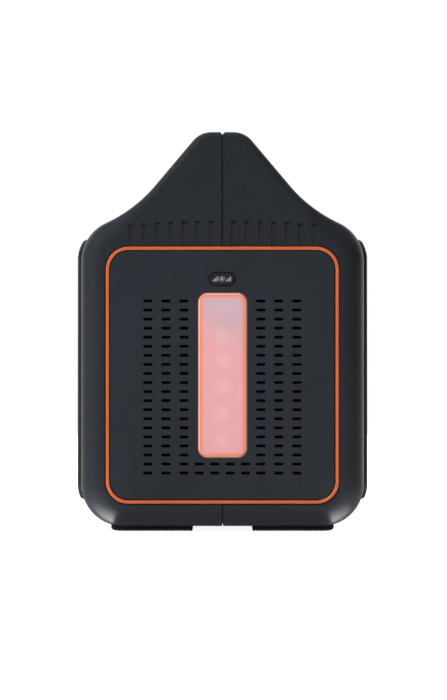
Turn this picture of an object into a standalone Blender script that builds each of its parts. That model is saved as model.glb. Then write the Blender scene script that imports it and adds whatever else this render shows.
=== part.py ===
"""Jump starter pack: a portable battery pack with a carry handle, an area light at one end and a fan at the other.

World frame: +Z up, the four feet stand on z = 0, the long side runs along Y and the light is at the -Y end.
The front panel, with the display, the sockets and the buttons, faces +X. All sizes below are in millimetres.
"""

import math

import bmesh
import bpy
from mathutils import Matrix, Vector

MM = 0.001
GAP = 0.3  # clearance between pieces that touch

# ---------------------------------------------------------------- casing
LENGTH = 230.0  # end face to end face
HALF_DEPTH = 71.0  # casing side wall from the middle plane
CASING_BOTTOM = 2.7  # underside of the casing above the floor
HEIGHT = 200.3  # top of the handle
WALL = 3.0
CORNER_R = 21.0  # lower and shoulder corners of the casing
SHOULDER_Z = 148.75  # where the side line meets the sloping shoulder
NECK_X, NECK_Z, NECK_BLEND = 43.2, 162.3, 14.3  # foot of the handle flank, and how far its curve reaches each way
TOP_X, TOP_R = 11.1, 12.0  # top corner of the handle
END_R, PILLAR_END_R = 11.0, 3.5  # edge radius round the ends, low down and on the handle pillars
END_FRAME = 8.0  # thickness of the frame round each end opening
SEAM_NOTCH = 1.0  # depth of the groove over the parting line

DECK_Z = 156.6  # flat under the handle
GRIP_HALF, GRIP_DEPTH = 17.0, 18.0  # half width and height of the handle bar
PILLAR = 35.0  # length of each handle pillar
TROUGH_X, TROUGH_END, TROUGH_DEPTH = 32.0, 14.0, 6.0  # finger trough: half width, space to the pillars, depth
SCREW_IN, HANDLE_SCREW_IN = 14.0, 18.0  # casing screws from the end faces
SCREW_LOW, SCREW_HIGH, HANDLE_SCREW = 11.3, 8.75, 4.5
POST_R, HEAD_BORE_R, THREAD_R = 5.5, 4.2, 1.6

FOOT_X = (15.0, 56.0)
FOOT_LENGTH, FOOT_IN, FOOT_H = 31.5, 12.0, 3.6

# ---------------------------------------------------------------- ends
END_Z = 78.5  # centre height of the end panels
TRIM_X, TRIM_Z, TRIM_R, TRIM_W = 58.5, 64.5, 11.5, 2.0  # trim ring: half sizes, corner, width
TRIM_SINK, TRIM_DEPTH, FACE_SINK = 0.3, 2.4, 0.6  # trim and panel face lie a little below the casing end
FLANGE, FLANGE_DEPTH = 2.95, 2.2  # how far the end panel reaches under the casing, and its thickness there
FACE_DEPTH = 2.4
LENS_X, LENS_Z, LENS_R = 12.0, 41.0, 4.4
LED_COUNT, LED_PITCH, LED_SIZE = 6, 13.35, 5.0
BUTTON_X, BUTTON_RISE, BUTTON_W, BUTTON_H = -0.25, 7.15, 12.9, 6.45
BUTTON_GAP = 0.6
PRESS = 1.2  # travel of every push button

SLOT_W, SLOT_H, SLOT_PITCH = 4.6, 1.4, 4.53
SLOT_COLUMNS = (-37.25, -28.2, -19.2, 19.2, 28.2, 37.25)
LOW_COLUMNS = (-11.55, -3.85, 3.85, 11.55)
SLOT_START, SLOT_END = 37.15, 15.0  # first row above the panel centre, and clear of the trim below
FLUTE_X, FLUTE_W = (5.6, 12.3, 19.0, 25.7, 32.4, 39.1, 45.8), 2.45
FLUTE_H, FLUTE_DROP, FLUTE_DEEP, FLUTE_SHALLOW = 12.7, 1.8, 1.5, 0.3

FAN_SIZE, FAN_DEPTH, FAN_SPACE = 60.0, 15.0, 8.0
FAN_WALL, FAN_HUB, TIP_GAP = 1.7, 12.5, 1.3
BLADES, BLADE_CHORD, BLADE_THICK, BLADE_PITCH = 7, 11.0, 1.2, math.radians(42)
GRILLE_PITCH, GRILLE_SLOT = 4.6, 2.6

# ---------------------------------------------------------------- sides
PANEL_OUT, PANEL_SEAT = 2.1, 1.5  # side panels: proud of the casing, and depth of their seat
PANEL_IN, PANEL_LOW, PANEL_HIGH, PANEL_R = 20.0, 15.7, 147.0, 9.0
PANEL_LIP = 11.0  # what of the seat stays round the window behind a panel
REAR_SLOT_W, REAR_SLOT_H, REAR_SLOT_PITCH, REAR_SLOTS = 3.2, 22.0, 8.0, 15

CAP_Y, SOCKET_Z, JUMP_Z = 50.0, 96.6, 53.6  # round socket caps
BORE_R, BARREL_WALL, BARREL_LENGTH, JUMP_LENGTH = 10.5, 2.0, 40.0, 23.0
CAP_LAP, CAP_TOP, PLUG_DEPTH, PLUG_WALL = 2.0, 2.6, 3.0, 1.6
HINGE_SPACE, HINGE_OUT, KNUCKLE_R, KNUCKLE_HALF, PIN_R = 1.8, 0.5, 1.9, 4.0, 0.8
CONTACT_Y, CONTACT_R = 4.3, 2.6

DISPLAY_Y, DISPLAY_Z, DISPLAY_W, DISPLAY_H = -30.0, 104.0, 60.0, 34.0
KEY_Z, KEY_R, KEY_PITCH, KEY_OUT = 68.0, 5.5, 18.0, 0.5
KEY_NAMES = ("power_button", "dc_button", "usb_button", "boost_button")
PORT_Z, USB_A_Y, USB_C_Y, JACK_Y = 40.0, (-57.0, -37.0), -18.0, -2.0
BOARD_IN, BOARD_DEPTH, SWITCH_H = 9.8, 1.6, 1.9

# ---------------------------------------------------------------- battery
CELL_X, CELL_Y, CELL_Z, CELL_SPACE, CELLS = 20.0, 130.0, 90.0, 0.5, 4
CELL_START, TRAY = -56.0, 3.0
TERMINAL_IN, TERMINAL_R, TERMINAL_H = 20.0, 4.5, 4.3
BUSBAR, LUG, LEAD_R = 1.5, 1.8, 2.5
BATTERY_BOARD_RISE, POWER_BOARD_RISE, SINK_H = 6.4, 20.4, 17.1

# ---------------------------------------------------------------- worked out from these
END_Y = LENGTH / 2
SHOULDER_TURN = math.atan2(HALF_DEPTH - NECK_X, NECK_Z - SHOULDER_Z)
SHOULDER_ARC_Z = SHOULDER_Z - CORNER_R * math.tan(SHOULDER_TURN / 2)  # centre of the shoulder arc
NECK_TURN = SHOULDER_TURN + math.atan2(HEIGHT - NECK_Z, NECK_X - TOP_X) - math.pi / 2
NECK_R = NECK_BLEND / math.tan(NECK_TURN / 2)
GRIP_Z = HEIGHT - GRIP_DEPTH
PILLAR_Y = END_Y - PILLAR
TROUGH_Z = DECK_Z - TROUGH_DEPTH
PANEL_Y = END_Y - PANEL_IN
PANEL_Z, PANEL_HALF = (PANEL_LOW + PANEL_HIGH) / 2, (PANEL_HIGH - PANEL_LOW) / 2
FACE_X = HALF_DEPTH + PANEL_OUT  # outer face of the front panel
INNER_X = HALF_DEPTH - PANEL_SEAT + GAP  # its inner face
SEAT_X = INNER_X - GAP  # front of what bears on the inner face
HANDLE_SCREW_Z = (NECK_Z + HEIGHT) / 2 - HANDLE_SCREW
SCREW_HEIGHTS = (CASING_BOTTOM + SCREW_LOW, SHOULDER_Z - SCREW_HIGH)
SCREWS = [(side * (END_Y - SCREW_IN), z) for z in SCREW_HEIGHTS for side in (-1, 1)]
SCREWS += [(side * (END_Y - HANDLE_SCREW_IN), HANDLE_SCREW_Z) for side in (-1, 1)]
BUTTON_Z = END_Z + LENS_Z + BUTTON_RISE
LED_MIDDLE = END_Z + 0.7
LIGHT_BOARD_Y = -END_Y + 13.4  # front of the light board
SWITCH_Y = -END_Y + 3.0 + FLANGE_DEPTH + PRESS + GAP  # front of the light switch
FLANGE_Y = END_Y - FACE_SINK - TRIM_DEPTH  # outer face of the end panels' flange
FAN_Y = END_Y - FAN_SPACE - FAN_DEPTH
BARREL_R = BORE_R + BARREL_WALL
CAP_R = BARREL_R + CAP_LAP
HINGE_X, HINGE_Y = FACE_X + HINGE_OUT, CAP_Y + CAP_R + HINGE_SPACE
BOARD_X = INNER_X - BOARD_IN  # component side of the control board
KEYS = {name: DISPLAY_Y + (i - 1.5) * KEY_PITCH for i, name in enumerate(KEY_NAMES)}
CELL_PITCH = CELL_X + CELL_SPACE
CELL_END = CELL_START + (CELLS - 1) * CELL_PITCH + CELL_X
TRAY_Z = CASING_BOTTOM + WALL + GAP
CELL_FLOOR = TRAY_Z + TRAY + GAP
CELL_TOP = CELL_FLOOR + CELL_Z
FRAME_TOP = CELL_TOP + TERMINAL_H
TERMINAL_Y = CELL_Y / 2 - TERMINAL_IN
BATTERY_BOARD_Z, POWER_BOARD_Z = FRAME_TOP + BATTERY_BOARD_RISE, FRAME_TOP + POWER_BOARD_RISE

# ---------------------------------------------------------------- linear RGB, roughness, metallic
CHARCOAL = ((0.036, 0.040, 0.050), 0.5, 0.0)
PANEL_GREY = ((0.030, 0.032, 0.038), 0.45, 0.0)
ORANGE = ((0.63, 0.15, 0.065), 0.45, 0.0)
BLACK = ((0.012, 0.012, 0.013), 0.6, 0.0)
RUBBER = ((0.015, 0.015, 0.015), 0.85, 0.0)
LIGHT_DIFFUSER = ((0.85, 0.42, 0.36), 0.4, 0.0)
WHITE = ((0.8, 0.8, 0.78), 0.5, 0.0)
GLASS = ((0.01, 0.01, 0.012), 0.1, 0.0)
BOARD = ((0.01, 0.06, 0.03), 0.5, 0.0)
CELL_BLUE = ((0.02, 0.06, 0.18), 0.45, 0.0)
STEEL = ((0.55, 0.55, 0.55), 0.35, 1.0)
BRASS = ((0.72, 0.5, 0.2), 0.3, 1.0)
ALUMINIUM = ((0.6, 0.6, 0.62), 0.4, 1.0)
RED = ((0.45, 0.02, 0.015), 0.5, 0.0)

WELD, FLAT = 1e-6, 1e-3  # metres between points made one, and radians between faces made one
# Local X and Y lie across each axis: (x, z) across Y, (y, z) across X, (x, y) across Z.
TURNS = {
    "X": Matrix(((0, 0, 1), (1, 0, 0), (0, 1, 0))),
    "Y": Matrix(((1, 0, 0), (0, 0, -1), (0, 1, 0))),
    "Z": Matrix.Identity(3),
}

for left_over in list(bpy.data.objects):
    bpy.data.objects.remove(left_over, do_unlink=True)

PACK = bpy.data.collections.new("jump_starter_pack")
TOOLS = bpy.data.collections.new("tools")
for group in (PACK, TOOLS):
    bpy.context.scene.collection.children.link(group)
TOOLS.hide_render = True


# ---------------------------------------------------------------- outlines
def rounded(corners):
    """A closed outline from (u, v, radius, steps) corners, each turned into an arc."""
    outline = []
    for i, (u, v, radius, steps) in enumerate(corners):
        here = Vector((u, v))
        back = (Vector(corners[i - 1][:2]) - here).normalized()
        ahead = (Vector(corners[(i + 1) % len(corners)][:2]) - here).normalized()
        if not radius:
            outline.append(here)
            continue
        half = back.angle(ahead) / 2
        centre = here + (back + ahead).normalized() * radius / math.sin(half)
        start = here + back * radius / math.tan(half) - centre
        end = here + ahead * radius / math.tan(half) - centre
        first = math.atan2(start.y, start.x)
        sweep = (math.atan2(end.y, end.x) - first + math.pi) % (2 * math.pi) - math.pi
        for k in range(steps + 1):
            angle = first + sweep * k / steps
            outline.append(centre + radius * Vector((math.cos(angle), math.sin(angle))))
    return outline


def plate(u, v, half_u, half_v, radius=0.0, steps=4):
    """A rounded rectangle about (u, v)."""
    signs = ((1, -1), (1, 1), (-1, 1), (-1, -1))
    return rounded([(u + a * half_u, v + b * half_v, radius, steps) for a, b in signs])


def stadium(u, v, half_u, half_v, steps=5):
    return plate(u, v, half_u, half_v, half_v - 0.01, steps)


def circle(u, v, radius, sides=24):
    turn = 2 * math.pi / sides
    return [Vector((u + radius * math.cos(k * turn), v + radius * math.sin(k * turn))) for k in range(sides)]


def grown(outline, by):
    """The outline moved outwards by this much, or inwards if negative. by may be one number for each point."""
    moved = []
    for i, point in enumerate(outline):
        before = (point - outline[i - 1]).normalized()
        after = (outline[(i + 1) % len(outline)] - point).normalized()
        normal = Vector((before.y + after.y, -before.x - after.x)).normalized()
        lean = normal.dot(Vector((after.y, -after.x)))
        moved.append(point + normal * (by[i] if isinstance(by, list) else by) / lean)
    return moved


def casing_outline():
    right = [
        (HALF_DEPTH, CASING_BOTTOM, CORNER_R, 6),
        (HALF_DEPTH, SHOULDER_Z, CORNER_R, 6),
        (NECK_X, NECK_Z, NECK_R, 4),
        (TOP_X, HEIGHT, TOP_R, 4),
    ]
    return rounded(right + [(-u, v, radius, steps) for u, v, radius, steps in reversed(right)])


def side_line(offset, low, high, steps=5):
    """The right side of the casing section from low to high, moved out by offset."""
    radius, centre_x, points = CORNER_R + offset, HALF_DEPTH - CORNER_R, []
    for end, centre_z in ((low, CASING_BOTTOM + CORNER_R), (high, SHOULDER_ARC_Z)):
        angles = [math.asin((end - centre_z) / radius) * k / steps for k in range(steps + 1)]
        for angle in reversed(angles) if end is low else angles:
            points.append(Vector((centre_x + radius * math.cos(angle), centre_z + radius * math.sin(angle))))
    return points


def panel_outline(more=0.0):
    """A side panel seen from the side."""
    return plate(0, PANEL_Z, PANEL_Y + more, PANEL_HALF + more, PANEL_R + more)


def trim_outline(more=0.0, steps=5):
    """The outer edge of a trim ring, or a line that far outside it."""
    return plate(0, END_Z, TRIM_X + more, TRIM_Z + more, TRIM_R + more, steps)


# ---------------------------------------------------------------- shapes
def link(name, mesh, group):
    obj = bpy.data.objects.new(name, mesh)
    group.objects.link(obj)
    if group is TOOLS:
        obj.hide_render = True
        obj.display_type = "WIRE"
    return obj


def place_of(axis, u, v, w):
    """The world place, in metres, of a point across and along an axis."""
    along = -w if axis == "Y" else w
    return TURNS[axis] @ Vector((u, v, along)) * MM


def frame_of(axis, u, v, w):
    return Matrix.Translation(place_of(axis, u, v, w)) @ TURNS[axis].to_4x4()


def settled(obj, name, group=TOOLS):
    """A mesh object from the shape that a curve, or an object's modifiers, give."""
    graph = bpy.context.evaluated_depsgraph_get()
    graph.update()
    mesh = bpy.data.meshes.new_from_object(obj.evaluated_get(graph))
    made = link(name, mesh, group)
    made.matrix_world = obj.matrix_world.copy()
    return made


def from_curve(curve, frame, name, group):
    """A curve's mesh, its caps welded to its sides and each flat face made whole."""
    rough = link(f"{name} curve", curve, TOOLS)
    rough.matrix_world = frame
    made = settled(rough, name, group)
    bpy.data.objects.remove(rough, do_unlink=True)
    bm = bmesh.new()
    bm.from_mesh(made.data)
    bmesh.ops.remove_doubles(bm, verts=bm.verts, dist=WELD)
    bmesh.ops.dissolve_limit(bm, angle_limit=FLAT, verts=bm.verts, edges=bm.edges)
    bmesh.ops.recalc_face_normals(bm, faces=bm.faces)
    bm.to_mesh(made.data)
    bm.free()
    return made


def slab(name, axis, outlines, ends, group=TOOLS):
    """A flat body between two places on an axis. An outline inside another is a hole; others lie side by side."""
    low, high = sorted(ends)
    curve = bpy.data.curves.new(name, "CURVE")
    curve.dimensions, curve.fill_mode, curve.extrude = "2D", "BOTH", (high - low) / 2 * MM
    for outline in outlines:
        spline = curve.splines.new("POLY")
        spline.points.add(len(outline) - 1)
        for knot, point in zip(spline.points, outline):
            knot.co = (point.x * MM, point.y * MM, 0, 1)
        spline.use_cyclic_u = True
    return from_curve(curve, frame_of(axis, 0, 0, (low + high) / 2), name, group)


def box(name, x, y, z, group=TOOLS):
    """A box from (low, high) pairs, in either order."""
    pairs = [sorted(pair) for pair in (x, y, z)]
    centre = Vector([(low + high) / 2 * MM for low, high in pairs])
    size = Vector([(high - low) * MM for low, high in pairs])
    bm = bmesh.new()
    bmesh.ops.create_cube(bm, size=1.0, matrix=Matrix.LocRotScale(centre, None, size))
    mesh = bpy.data.meshes.new(name)
    bm.to_mesh(mesh)
    bm.free()
    return link(name, mesh, group)


def rod(name, axis, centre, ends, radius, sides=12, group=TOOLS):
    low, high = sorted(ends)
    bm = bmesh.new()
    bmesh.ops.create_cone(
        bm, cap_ends=True, segments=sides, radius1=radius * MM, radius2=radius * MM, depth=(high - low) * MM
    )
    mesh = bpy.data.meshes.new(name)
    bm.to_mesh(mesh)
    bm.free()
    obj = link(name, mesh, group)
    obj.matrix_world = frame_of(axis, *centre, (low + high) / 2)
    return obj


def turned(name, axis, centre, profile, sides=24, group=TOOLS, origin=0.0):
    """A turned body from (radius, place) points, low to high on the outside. Off the axis, they form a ring."""
    along = -1 if axis == "Y" else 1
    points = [(radius * MM, 0, along * (place - origin) * MM) for radius, place in profile]
    if along > 0:
        points.reverse()
    edges = [(i, i + 1) for i in range(len(points) - 1)]
    if profile[0][0]:
        edges.append((len(points) - 1, 0))
    mesh = bpy.data.meshes.new(name)
    mesh.from_pydata(points, edges, [])
    obj = link(name, mesh, group)
    obj.matrix_world = frame_of(axis, *centre, origin)
    screw = obj.modifiers.new("turn", "SCREW")
    screw.axis, screw.steps, screw.render_steps = "Z", sides, sides
    screw.use_merge_vertices, screw.merge_threshold = True, WELD
    return obj


def loft(name, rings, group=TOOLS):
    """A body skinned over unlike sections, each a ring of world points, with flat ends."""
    bm = bmesh.new()
    made = [[bm.verts.new(Vector(p) * MM) for p in ring] for ring in rings]
    for low, high in zip(made, made[1:]):
        for i in range(len(low)):
            j = (i + 1) % len(low)
            bm.faces.new((low[i], low[j], high[j], high[i]))
    bm.faces.new(made[0])
    bm.faces.new(made[-1])
    bmesh.ops.recalc_face_normals(bm, faces=bm.faces)
    mesh = bpy.data.meshes.new(name)
    bm.to_mesh(mesh)
    bm.free()
    return link(name, mesh, group)


def change(target, how, tools):
    for tool in tools:
        step = target.modifiers.new(f"{how.lower()} {tool.name}", "BOOLEAN")
        step.operation, step.solver, step.object = how, "EXACT", tool


def cut(target, *tools):
    change(target, "DIFFERENCE", tools)


def join(target, *tools):
    change(target, "UNION", tools)


def keep(target, *tools):
    change(target, "INTERSECT", tools)


def soften(obj, width, segments=1):
    bevel = obj.modifiers.new("soften", "BEVEL")
    bevel.width, bevel.segments, bevel.limit_method = width * MM, segments, "ANGLE"


def finish(obj, look):
    """Gives a node its own material and smooth shading."""
    colour, roughness, metal = look
    material = bpy.data.materials.new(obj.name)
    material.use_nodes = True
    shader = material.node_tree.nodes["Principled BSDF"]
    shader.inputs["Base Color"].default_value = (*colour, 1.0)
    shader.inputs["Roughness"].default_value = roughness
    shader.inputs["Metallic"].default_value = metal
    obj.data.materials.clear()
    obj.data.materials.append(material)
    obj.data.shade_smooth()
    obj.data.set_sharp_from_angle(angle=math.radians(35))
    return obj


def hang(obj, point):
    """Puts a moving piece's origin on its joint axis, its shape staying where it is."""
    place = Vector(point) * MM
    obj.data.transform(Matrix.Translation(-place) @ obj.matrix_world)
    obj.matrix_world = Matrix.Translation(place)


# ---------------------------------------------------------------- casing
def end_radius(z):
    """Edge radius round an end face at this height."""
    start = NECK_Z - 16.3
    share = min(1.0, max(0.0, (z - start) / 18.0))
    return END_R + (PILLAR_END_R - END_R) * share * share * (3 - 2 * share)


def casing_form():
    """The outside of the casing, its end edges rounded more at the body than on the handle pillars."""
    outline = casing_outline()
    radii = [end_radius(p.y) for p in outline]
    rings = []
    for side, angles in ((-1, (0, 30, 60, 90)), (1, (90, 60, 30, 0))):
        for degrees in angles:
            sine, cosine = math.sin(math.radians(degrees)), math.cos(math.radians(degrees))
            inset = grown(outline, [-r * (1 - sine) for r in radii])
            rings.append([(p.x, side * (END_Y - r * (1 - cosine)), p.y) for p, r in zip(inset, radii)])
    return loft("casing_form", rings)


def finger_opening(more):
    low, high, across = DECK_Z - more, GRIP_Z + more, PILLAR_Y + more
    corners = [(across, low, 8 + more, 3), (across, high, 12 + more, 3)]
    corners += [(-u, v, radius, steps) for u, v, radius, steps in reversed(corners)]
    return slab(f"finger_opening_{more:.0f}", "X", [rounded(corners)], (-HALF_DEPTH - 20, HALF_DEPTH + 20))


def grip_sides(more):
    """What is taken off beside the handle bar, seen from above."""
    edge, out, reach = GRIP_HALF - more, HALF_DEPTH + 20, PILLAR_Y + more
    corners = [(edge, -reach + 14, 10, 3), (edge + 23, -reach, 0, 0), (out, -reach, 0, 0)]
    corners += [(u, -v, radius, steps) for u, v, radius, steps in reversed(corners)]
    right = rounded(corners)
    left = [Vector((-p.x, p.y)) for p in reversed(right)]
    return slab(f"grip_sides_{more:.0f}", "Z", [right, left], (DECK_Z - more, HEIGHT + 20))


def trough(more):
    outline = plate(0, 0, TROUGH_X + more, PILLAR_Y - TROUGH_END + more, 9 + more, 3)
    return slab(f"trough_{more:.0f}", "Z", [outline], (TROUGH_Z - more, DECK_Z + 1))


def end_tools(side):
    """The opening and the panel groove at one end."""
    face = side * END_Y
    reach = FLANGE + GAP
    groove = (side * (FLANGE_Y - FLANGE_DEPTH - GAP - 0.3), side * (FLANGE_Y + GAP - 0.3))
    through = (face + side * 2, face - side * (END_FRAME + 4))
    opening = slab(f"end_opening_{side}", "Y", [trim_outline(GAP)], through)
    return opening, slab(f"end_groove_{side}", "Y", [trim_outline(reach), trim_outline(-reach)], groove)


def flutes(side):
    """The short flutes over an end panel, deepest at the top."""
    face, bodies = side * END_Y, []
    low = END_Z + TRIM_Z + 0.9
    for place in [x * mirror for x in FLUTE_X for mirror in (-1, 1)]:
        top = low + FLUTE_H - 0.9 - FLUTE_DROP * (place / FLUTE_X[-1]) ** 2
        out, foot, head = face + side, face - side * FLUTE_SHALLOW, face - side * FLUTE_DEEP
        outline = [Vector(p) for p in ((out, low), (foot, low), (head, top), (out, top))]
        bodies.append(slab("flute", "X", [outline], (place - FLUTE_W / 2, place + FLUTE_W / 2)))
    return bodies


def panel_seat(side):
    """What is taken off the casing for a side panel, and the window behind it."""
    low, high = PANEL_LOW - GAP, PANEL_HIGH + GAP
    out = HALF_DEPTH + 14
    line = [*side_line(-PANEL_SEAT, low, high), Vector((out, high)), Vector((out, low))]
    line = [Vector((side * p.x, p.y)) for p in line]
    seat = slab(f"panel_seat_{side}", "Y", [line], (-PANEL_Y - GAP, PANEL_Y + GAP))
    keep(seat, slab(f"seat_outline_{side}", "X", [panel_outline(GAP)], (-HALF_DEPTH - 30, HALF_DEPTH + 30)))
    window = plate(0, PANEL_Z - 2.35, PANEL_Y - PANEL_LIP, PANEL_HALF - PANEL_LIP - 1.65, 6, 3)
    return seat, slab(f"panel_window_{side}", "X", [window], (side * (HALF_DEPTH - 16), side * (HALF_DEPTH + 9)))


def casing_inside():
    """The hollow that leaves the casing's walls."""
    inside = slab("inside", "Y", [grown(casing_outline(), -WALL)], (END_FRAME - END_Y, END_Y - END_FRAME))
    pillars = slab("pillar_inside", "Y", [grown(casing_outline(), -WALL - 3.5)], (4 - END_Y, END_Y - 4))
    keep(pillars, box("pillar_part", (-HALF_DEPTH, HALF_DEPTH), (-END_Y, END_Y), (SHOULDER_Z + 2.25, HEIGHT)))
    join(inside, pillars)
    cut(inside, finger_opening(WALL), grip_sides(WALL), trough(WALL))
    return inside


def casing_both():
    """Both halves of the casing in one, before they are parted."""
    form = casing_form()
    cut(form, finger_opening(0), grip_sides(0), trough(0), casing_inside())
    cut(form, *end_tools(-1), *end_tools(1), *flutes(-1), *flutes(1), *panel_seat(-1), *panel_seat(1))
    feet_holes = [plate(x, y, half_x + GAP, half_y + GAP) for x, y, half_x, half_y in foot_places().values()]
    cut(form, slab("foot_recesses", "Z", feet_holes, (-1, FOOT_H + GAP)))
    reach = SEAM_NOTCH + GAP
    notch = [Vector((-reach, HEIGHT + GAP)), Vector((0, HEIGHT - SEAM_NOTCH)), Vector((reach, HEIGHT + GAP))]
    cut(form, slab("seam_notch", "Y", [notch], (-END_Y - 15, END_Y + 15)))
    return form


def casing_halves():
    """The two casing halves, with the handle moulded in, screwed together from the rear."""
    both = casing_both()
    for name, side in (("front_casing", 1), ("rear_casing", -1)):
        half = settled(both, name, PACK)
        room = (side * GAP / 2, side * (HALF_DEPTH + 20))
        keep(half, box(f"{name}_side", room, (-END_Y - 5, END_Y + 5), (-5, HEIGHT + 10)))
        outlines = [circle(y, z, POST_R, 12) for y, z in SCREWS]
        posts = slab(f"{name}_posts", "X", outlines, (side * GAP / 2, side * (HALF_DEPTH + 4)))
        ends = (1.0 + END_FRAME - END_Y - 3, END_Y - END_FRAME + 2)
        keep(posts, slab(f"{name}_post_limit", "Y", [grown(casing_outline(), 1.0 - WALL)], ends))
        join(half, posts)
        if side > 0:
            cut(half, slab("thread_holes", "X", [circle(y, z, THREAD_R + GAP, 8) for y, z in SCREWS], (-1, 17)))
        else:
            # Each wide bore for a screw's head steps down to a hole for its thread.
            profile = [(0, -HALF_DEPTH - 19), (HEAD_BORE_R, -HALF_DEPTH - 19), (HEAD_BORE_R, -14)]
            profile += [(THREAD_R + 0.5, -14), (THREAD_R + 0.5, 1), (0, 1)]
            cut(half, *[turned("screw_bore", "X", place, profile, 12) for place in SCREWS])
        finish(half, CHARCOAL)


def casing_screws():
    head = HEAD_BORE_R - 0.6
    profile = [(0, -16.8), (head, -16.6), (head, -14.3), (THREAD_R, -14.3), (THREAD_R, 14.0), (0, 15.0)]
    for i, place in enumerate(SCREWS, 1):
        finish(turned(f"casing_screw_{i}", "X", place, profile, 10, PACK), STEEL)


def foot_places():
    """Centre and half sizes of each foot, by name."""
    half_x, x, y = (FOOT_X[1] - FOOT_X[0]) / 2, sum(FOOT_X) / 2, END_Y - FOOT_IN - FOOT_LENGTH / 2
    return {
        f"foot_{front}_{end}": (side * x, along * y, half_x, FOOT_LENGTH / 2)
        for front, side in (("front", 1), ("rear", -1))
        for end, along in (("light", -1), ("fan", 1))
    }


def feet():
    for name, (x, y, half_x, half_y) in foot_places().items():
        foot = box(name, (x - half_x, x + half_x), (y - half_y, y + half_y), (0, FOOT_H), PACK)
        soften(foot, 0.8, 2)
        finish(foot, RUBBER)


# ---------------------------------------------------------------- end panels
def trim(name, side):
    face = side * (END_Y - TRIM_SINK)
    outlines = [trim_outline(0, 6), trim_outline(-TRIM_W, 6)]
    finish(slab(name, "Y", outlines, (face, face - side * TRIM_DEPTH), PACK), ORANGE)


def end_panel(name, side):
    """A plate held in the casing groove, with a raised face inside the trim ring."""
    face, flange = END_Y - FACE_SINK, FLANGE_Y - GAP
    body = slab(name, "Y", [trim_outline(FLANGE)], (side * flange, side * (flange - FLANGE_DEPTH)), PACK)
    inner = -TRIM_W - GAP
    join(body, slab(f"{name}_raised", "Y", [trim_outline(inner)], (side * face, side * (flange - 1))))
    hollow = (side * (face - FACE_DEPTH), side * (flange - 7))
    cut(body, slab(f"{name}_hollow", "Y", [trim_outline(inner - 2.5, 4)], hollow))
    return body


def slot_places():
    rows = int((SLOT_START + TRIM_Z - SLOT_END) / SLOT_PITCH) + 1
    heights = [END_Z + SLOT_START - row * SLOT_PITCH for row in range(rows)]
    return [(x, z) for x in SLOT_COLUMNS for z in heights] + [(x, z) for x in LOW_COLUMNS for z in heights[-2:]]


def light_panel():
    panel = end_panel("light_end_panel", -1)
    through = (-END_Y - 3, -END_Y + 5)
    posts = [circle(x, z, 2.2, 8) for x in (-18, 18) for z in (END_Z - 54, BUTTON_Z - 0.65)]
    join(panel, slab("light_posts", "Y", posts, (-END_Y + 2.7, LIGHT_BOARD_Y - GAP)))
    cut(panel, slab("light_slots", "Y", [plate(x, z, SLOT_W / 2, SLOT_H / 2) for x, z in slot_places()], through))
    lens = plate(0, END_Z, LENS_X + GAP, LENS_Z + GAP, LENS_R + GAP, 3)
    button = stadium(BUTTON_X, BUTTON_Z, BUTTON_W / 2 + BUTTON_GAP, BUTTON_H / 2 + BUTTON_GAP, 6)
    cut(panel, slab("light_openings", "Y", [lens, button], through))
    finish(panel, PANEL_GREY)


def light_unit():
    """The diffuser bar with its reflector and the board that carries the LEDs."""
    back = -END_Y + FACE_SINK + FACE_DEPTH + GAP  # behind the panel face
    lens = slab("light_lens", "Y", [plate(0, END_Z, LENS_X, LENS_Z, LENS_R, 3)], (-END_Y + 0.4, back + 1.3), PACK)
    flange = plate(0, END_Z, LENS_X + 1.5, LENS_Z + 1.5, LENS_R + 1.5, 3)
    join(lens, slab("lens_flange", "Y", [flange], (back, back + 1.5)))
    finish(lens, LIGHT_DIFFUSER)

    walls = [plate(0, END_Z, LENS_X + 3, LENS_Z + 2, 3, 2), plate(0, END_Z, LENS_X + 1, LENS_Z, 1.5, 2)]
    finish(slab("light_reflector", "Y", walls, (back + 1.8, LIGHT_BOARD_Y - GAP), PACK), WHITE)

    along, up = (LIGHT_BOARD_Y, LIGHT_BOARD_Y + BOARD_DEPTH), (END_Z - 57.5, BUTTON_Z + 5.35)
    board = box("light_board", (-21, 21), along, up, PACK)
    heights = [LED_MIDDLE + (i - (LED_COUNT - 1) / 2) * LED_PITCH for i in range(LED_COUNT)]
    leds = [plate(0, z, LED_SIZE / 2, LED_SIZE / 2) for z in heights]
    join(board, slab("leds", "Y", leds, (LIGHT_BOARD_Y - 1.6, LIGHT_BOARD_Y + 0.2)))
    finish(board, WHITE)


def light_button():
    back = -END_Y + FACE_SINK + FACE_DEPTH + GAP
    outline = stadium(BUTTON_X, BUTTON_Z, BUTTON_W / 2, BUTTON_H / 2, 6)
    key = slab("light_button", "Y", [outline], (-END_Y + 0.1, back + 0.7), PACK)
    flange = plate(BUTTON_X, BUTTON_Z, BUTTON_W / 2 + 1.55, BUTTON_H / 2 + 1.475, 4.0, 3)
    join(key, slab("button_flange", "Y", [flange], (back, SWITCH_Y - GAP - PRESS)))
    finish(key, PANEL_GREY)
    hang(key, (BUTTON_X, back, BUTTON_Z))
    size = (BUTTON_X - 3, BUTTON_X + 3)
    finish(box("light_switch", size, (SWITCH_Y, LIGHT_BOARD_Y - GAP), (BUTTON_Z - 3, BUTTON_Z + 3), PACK), BLACK)


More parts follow.
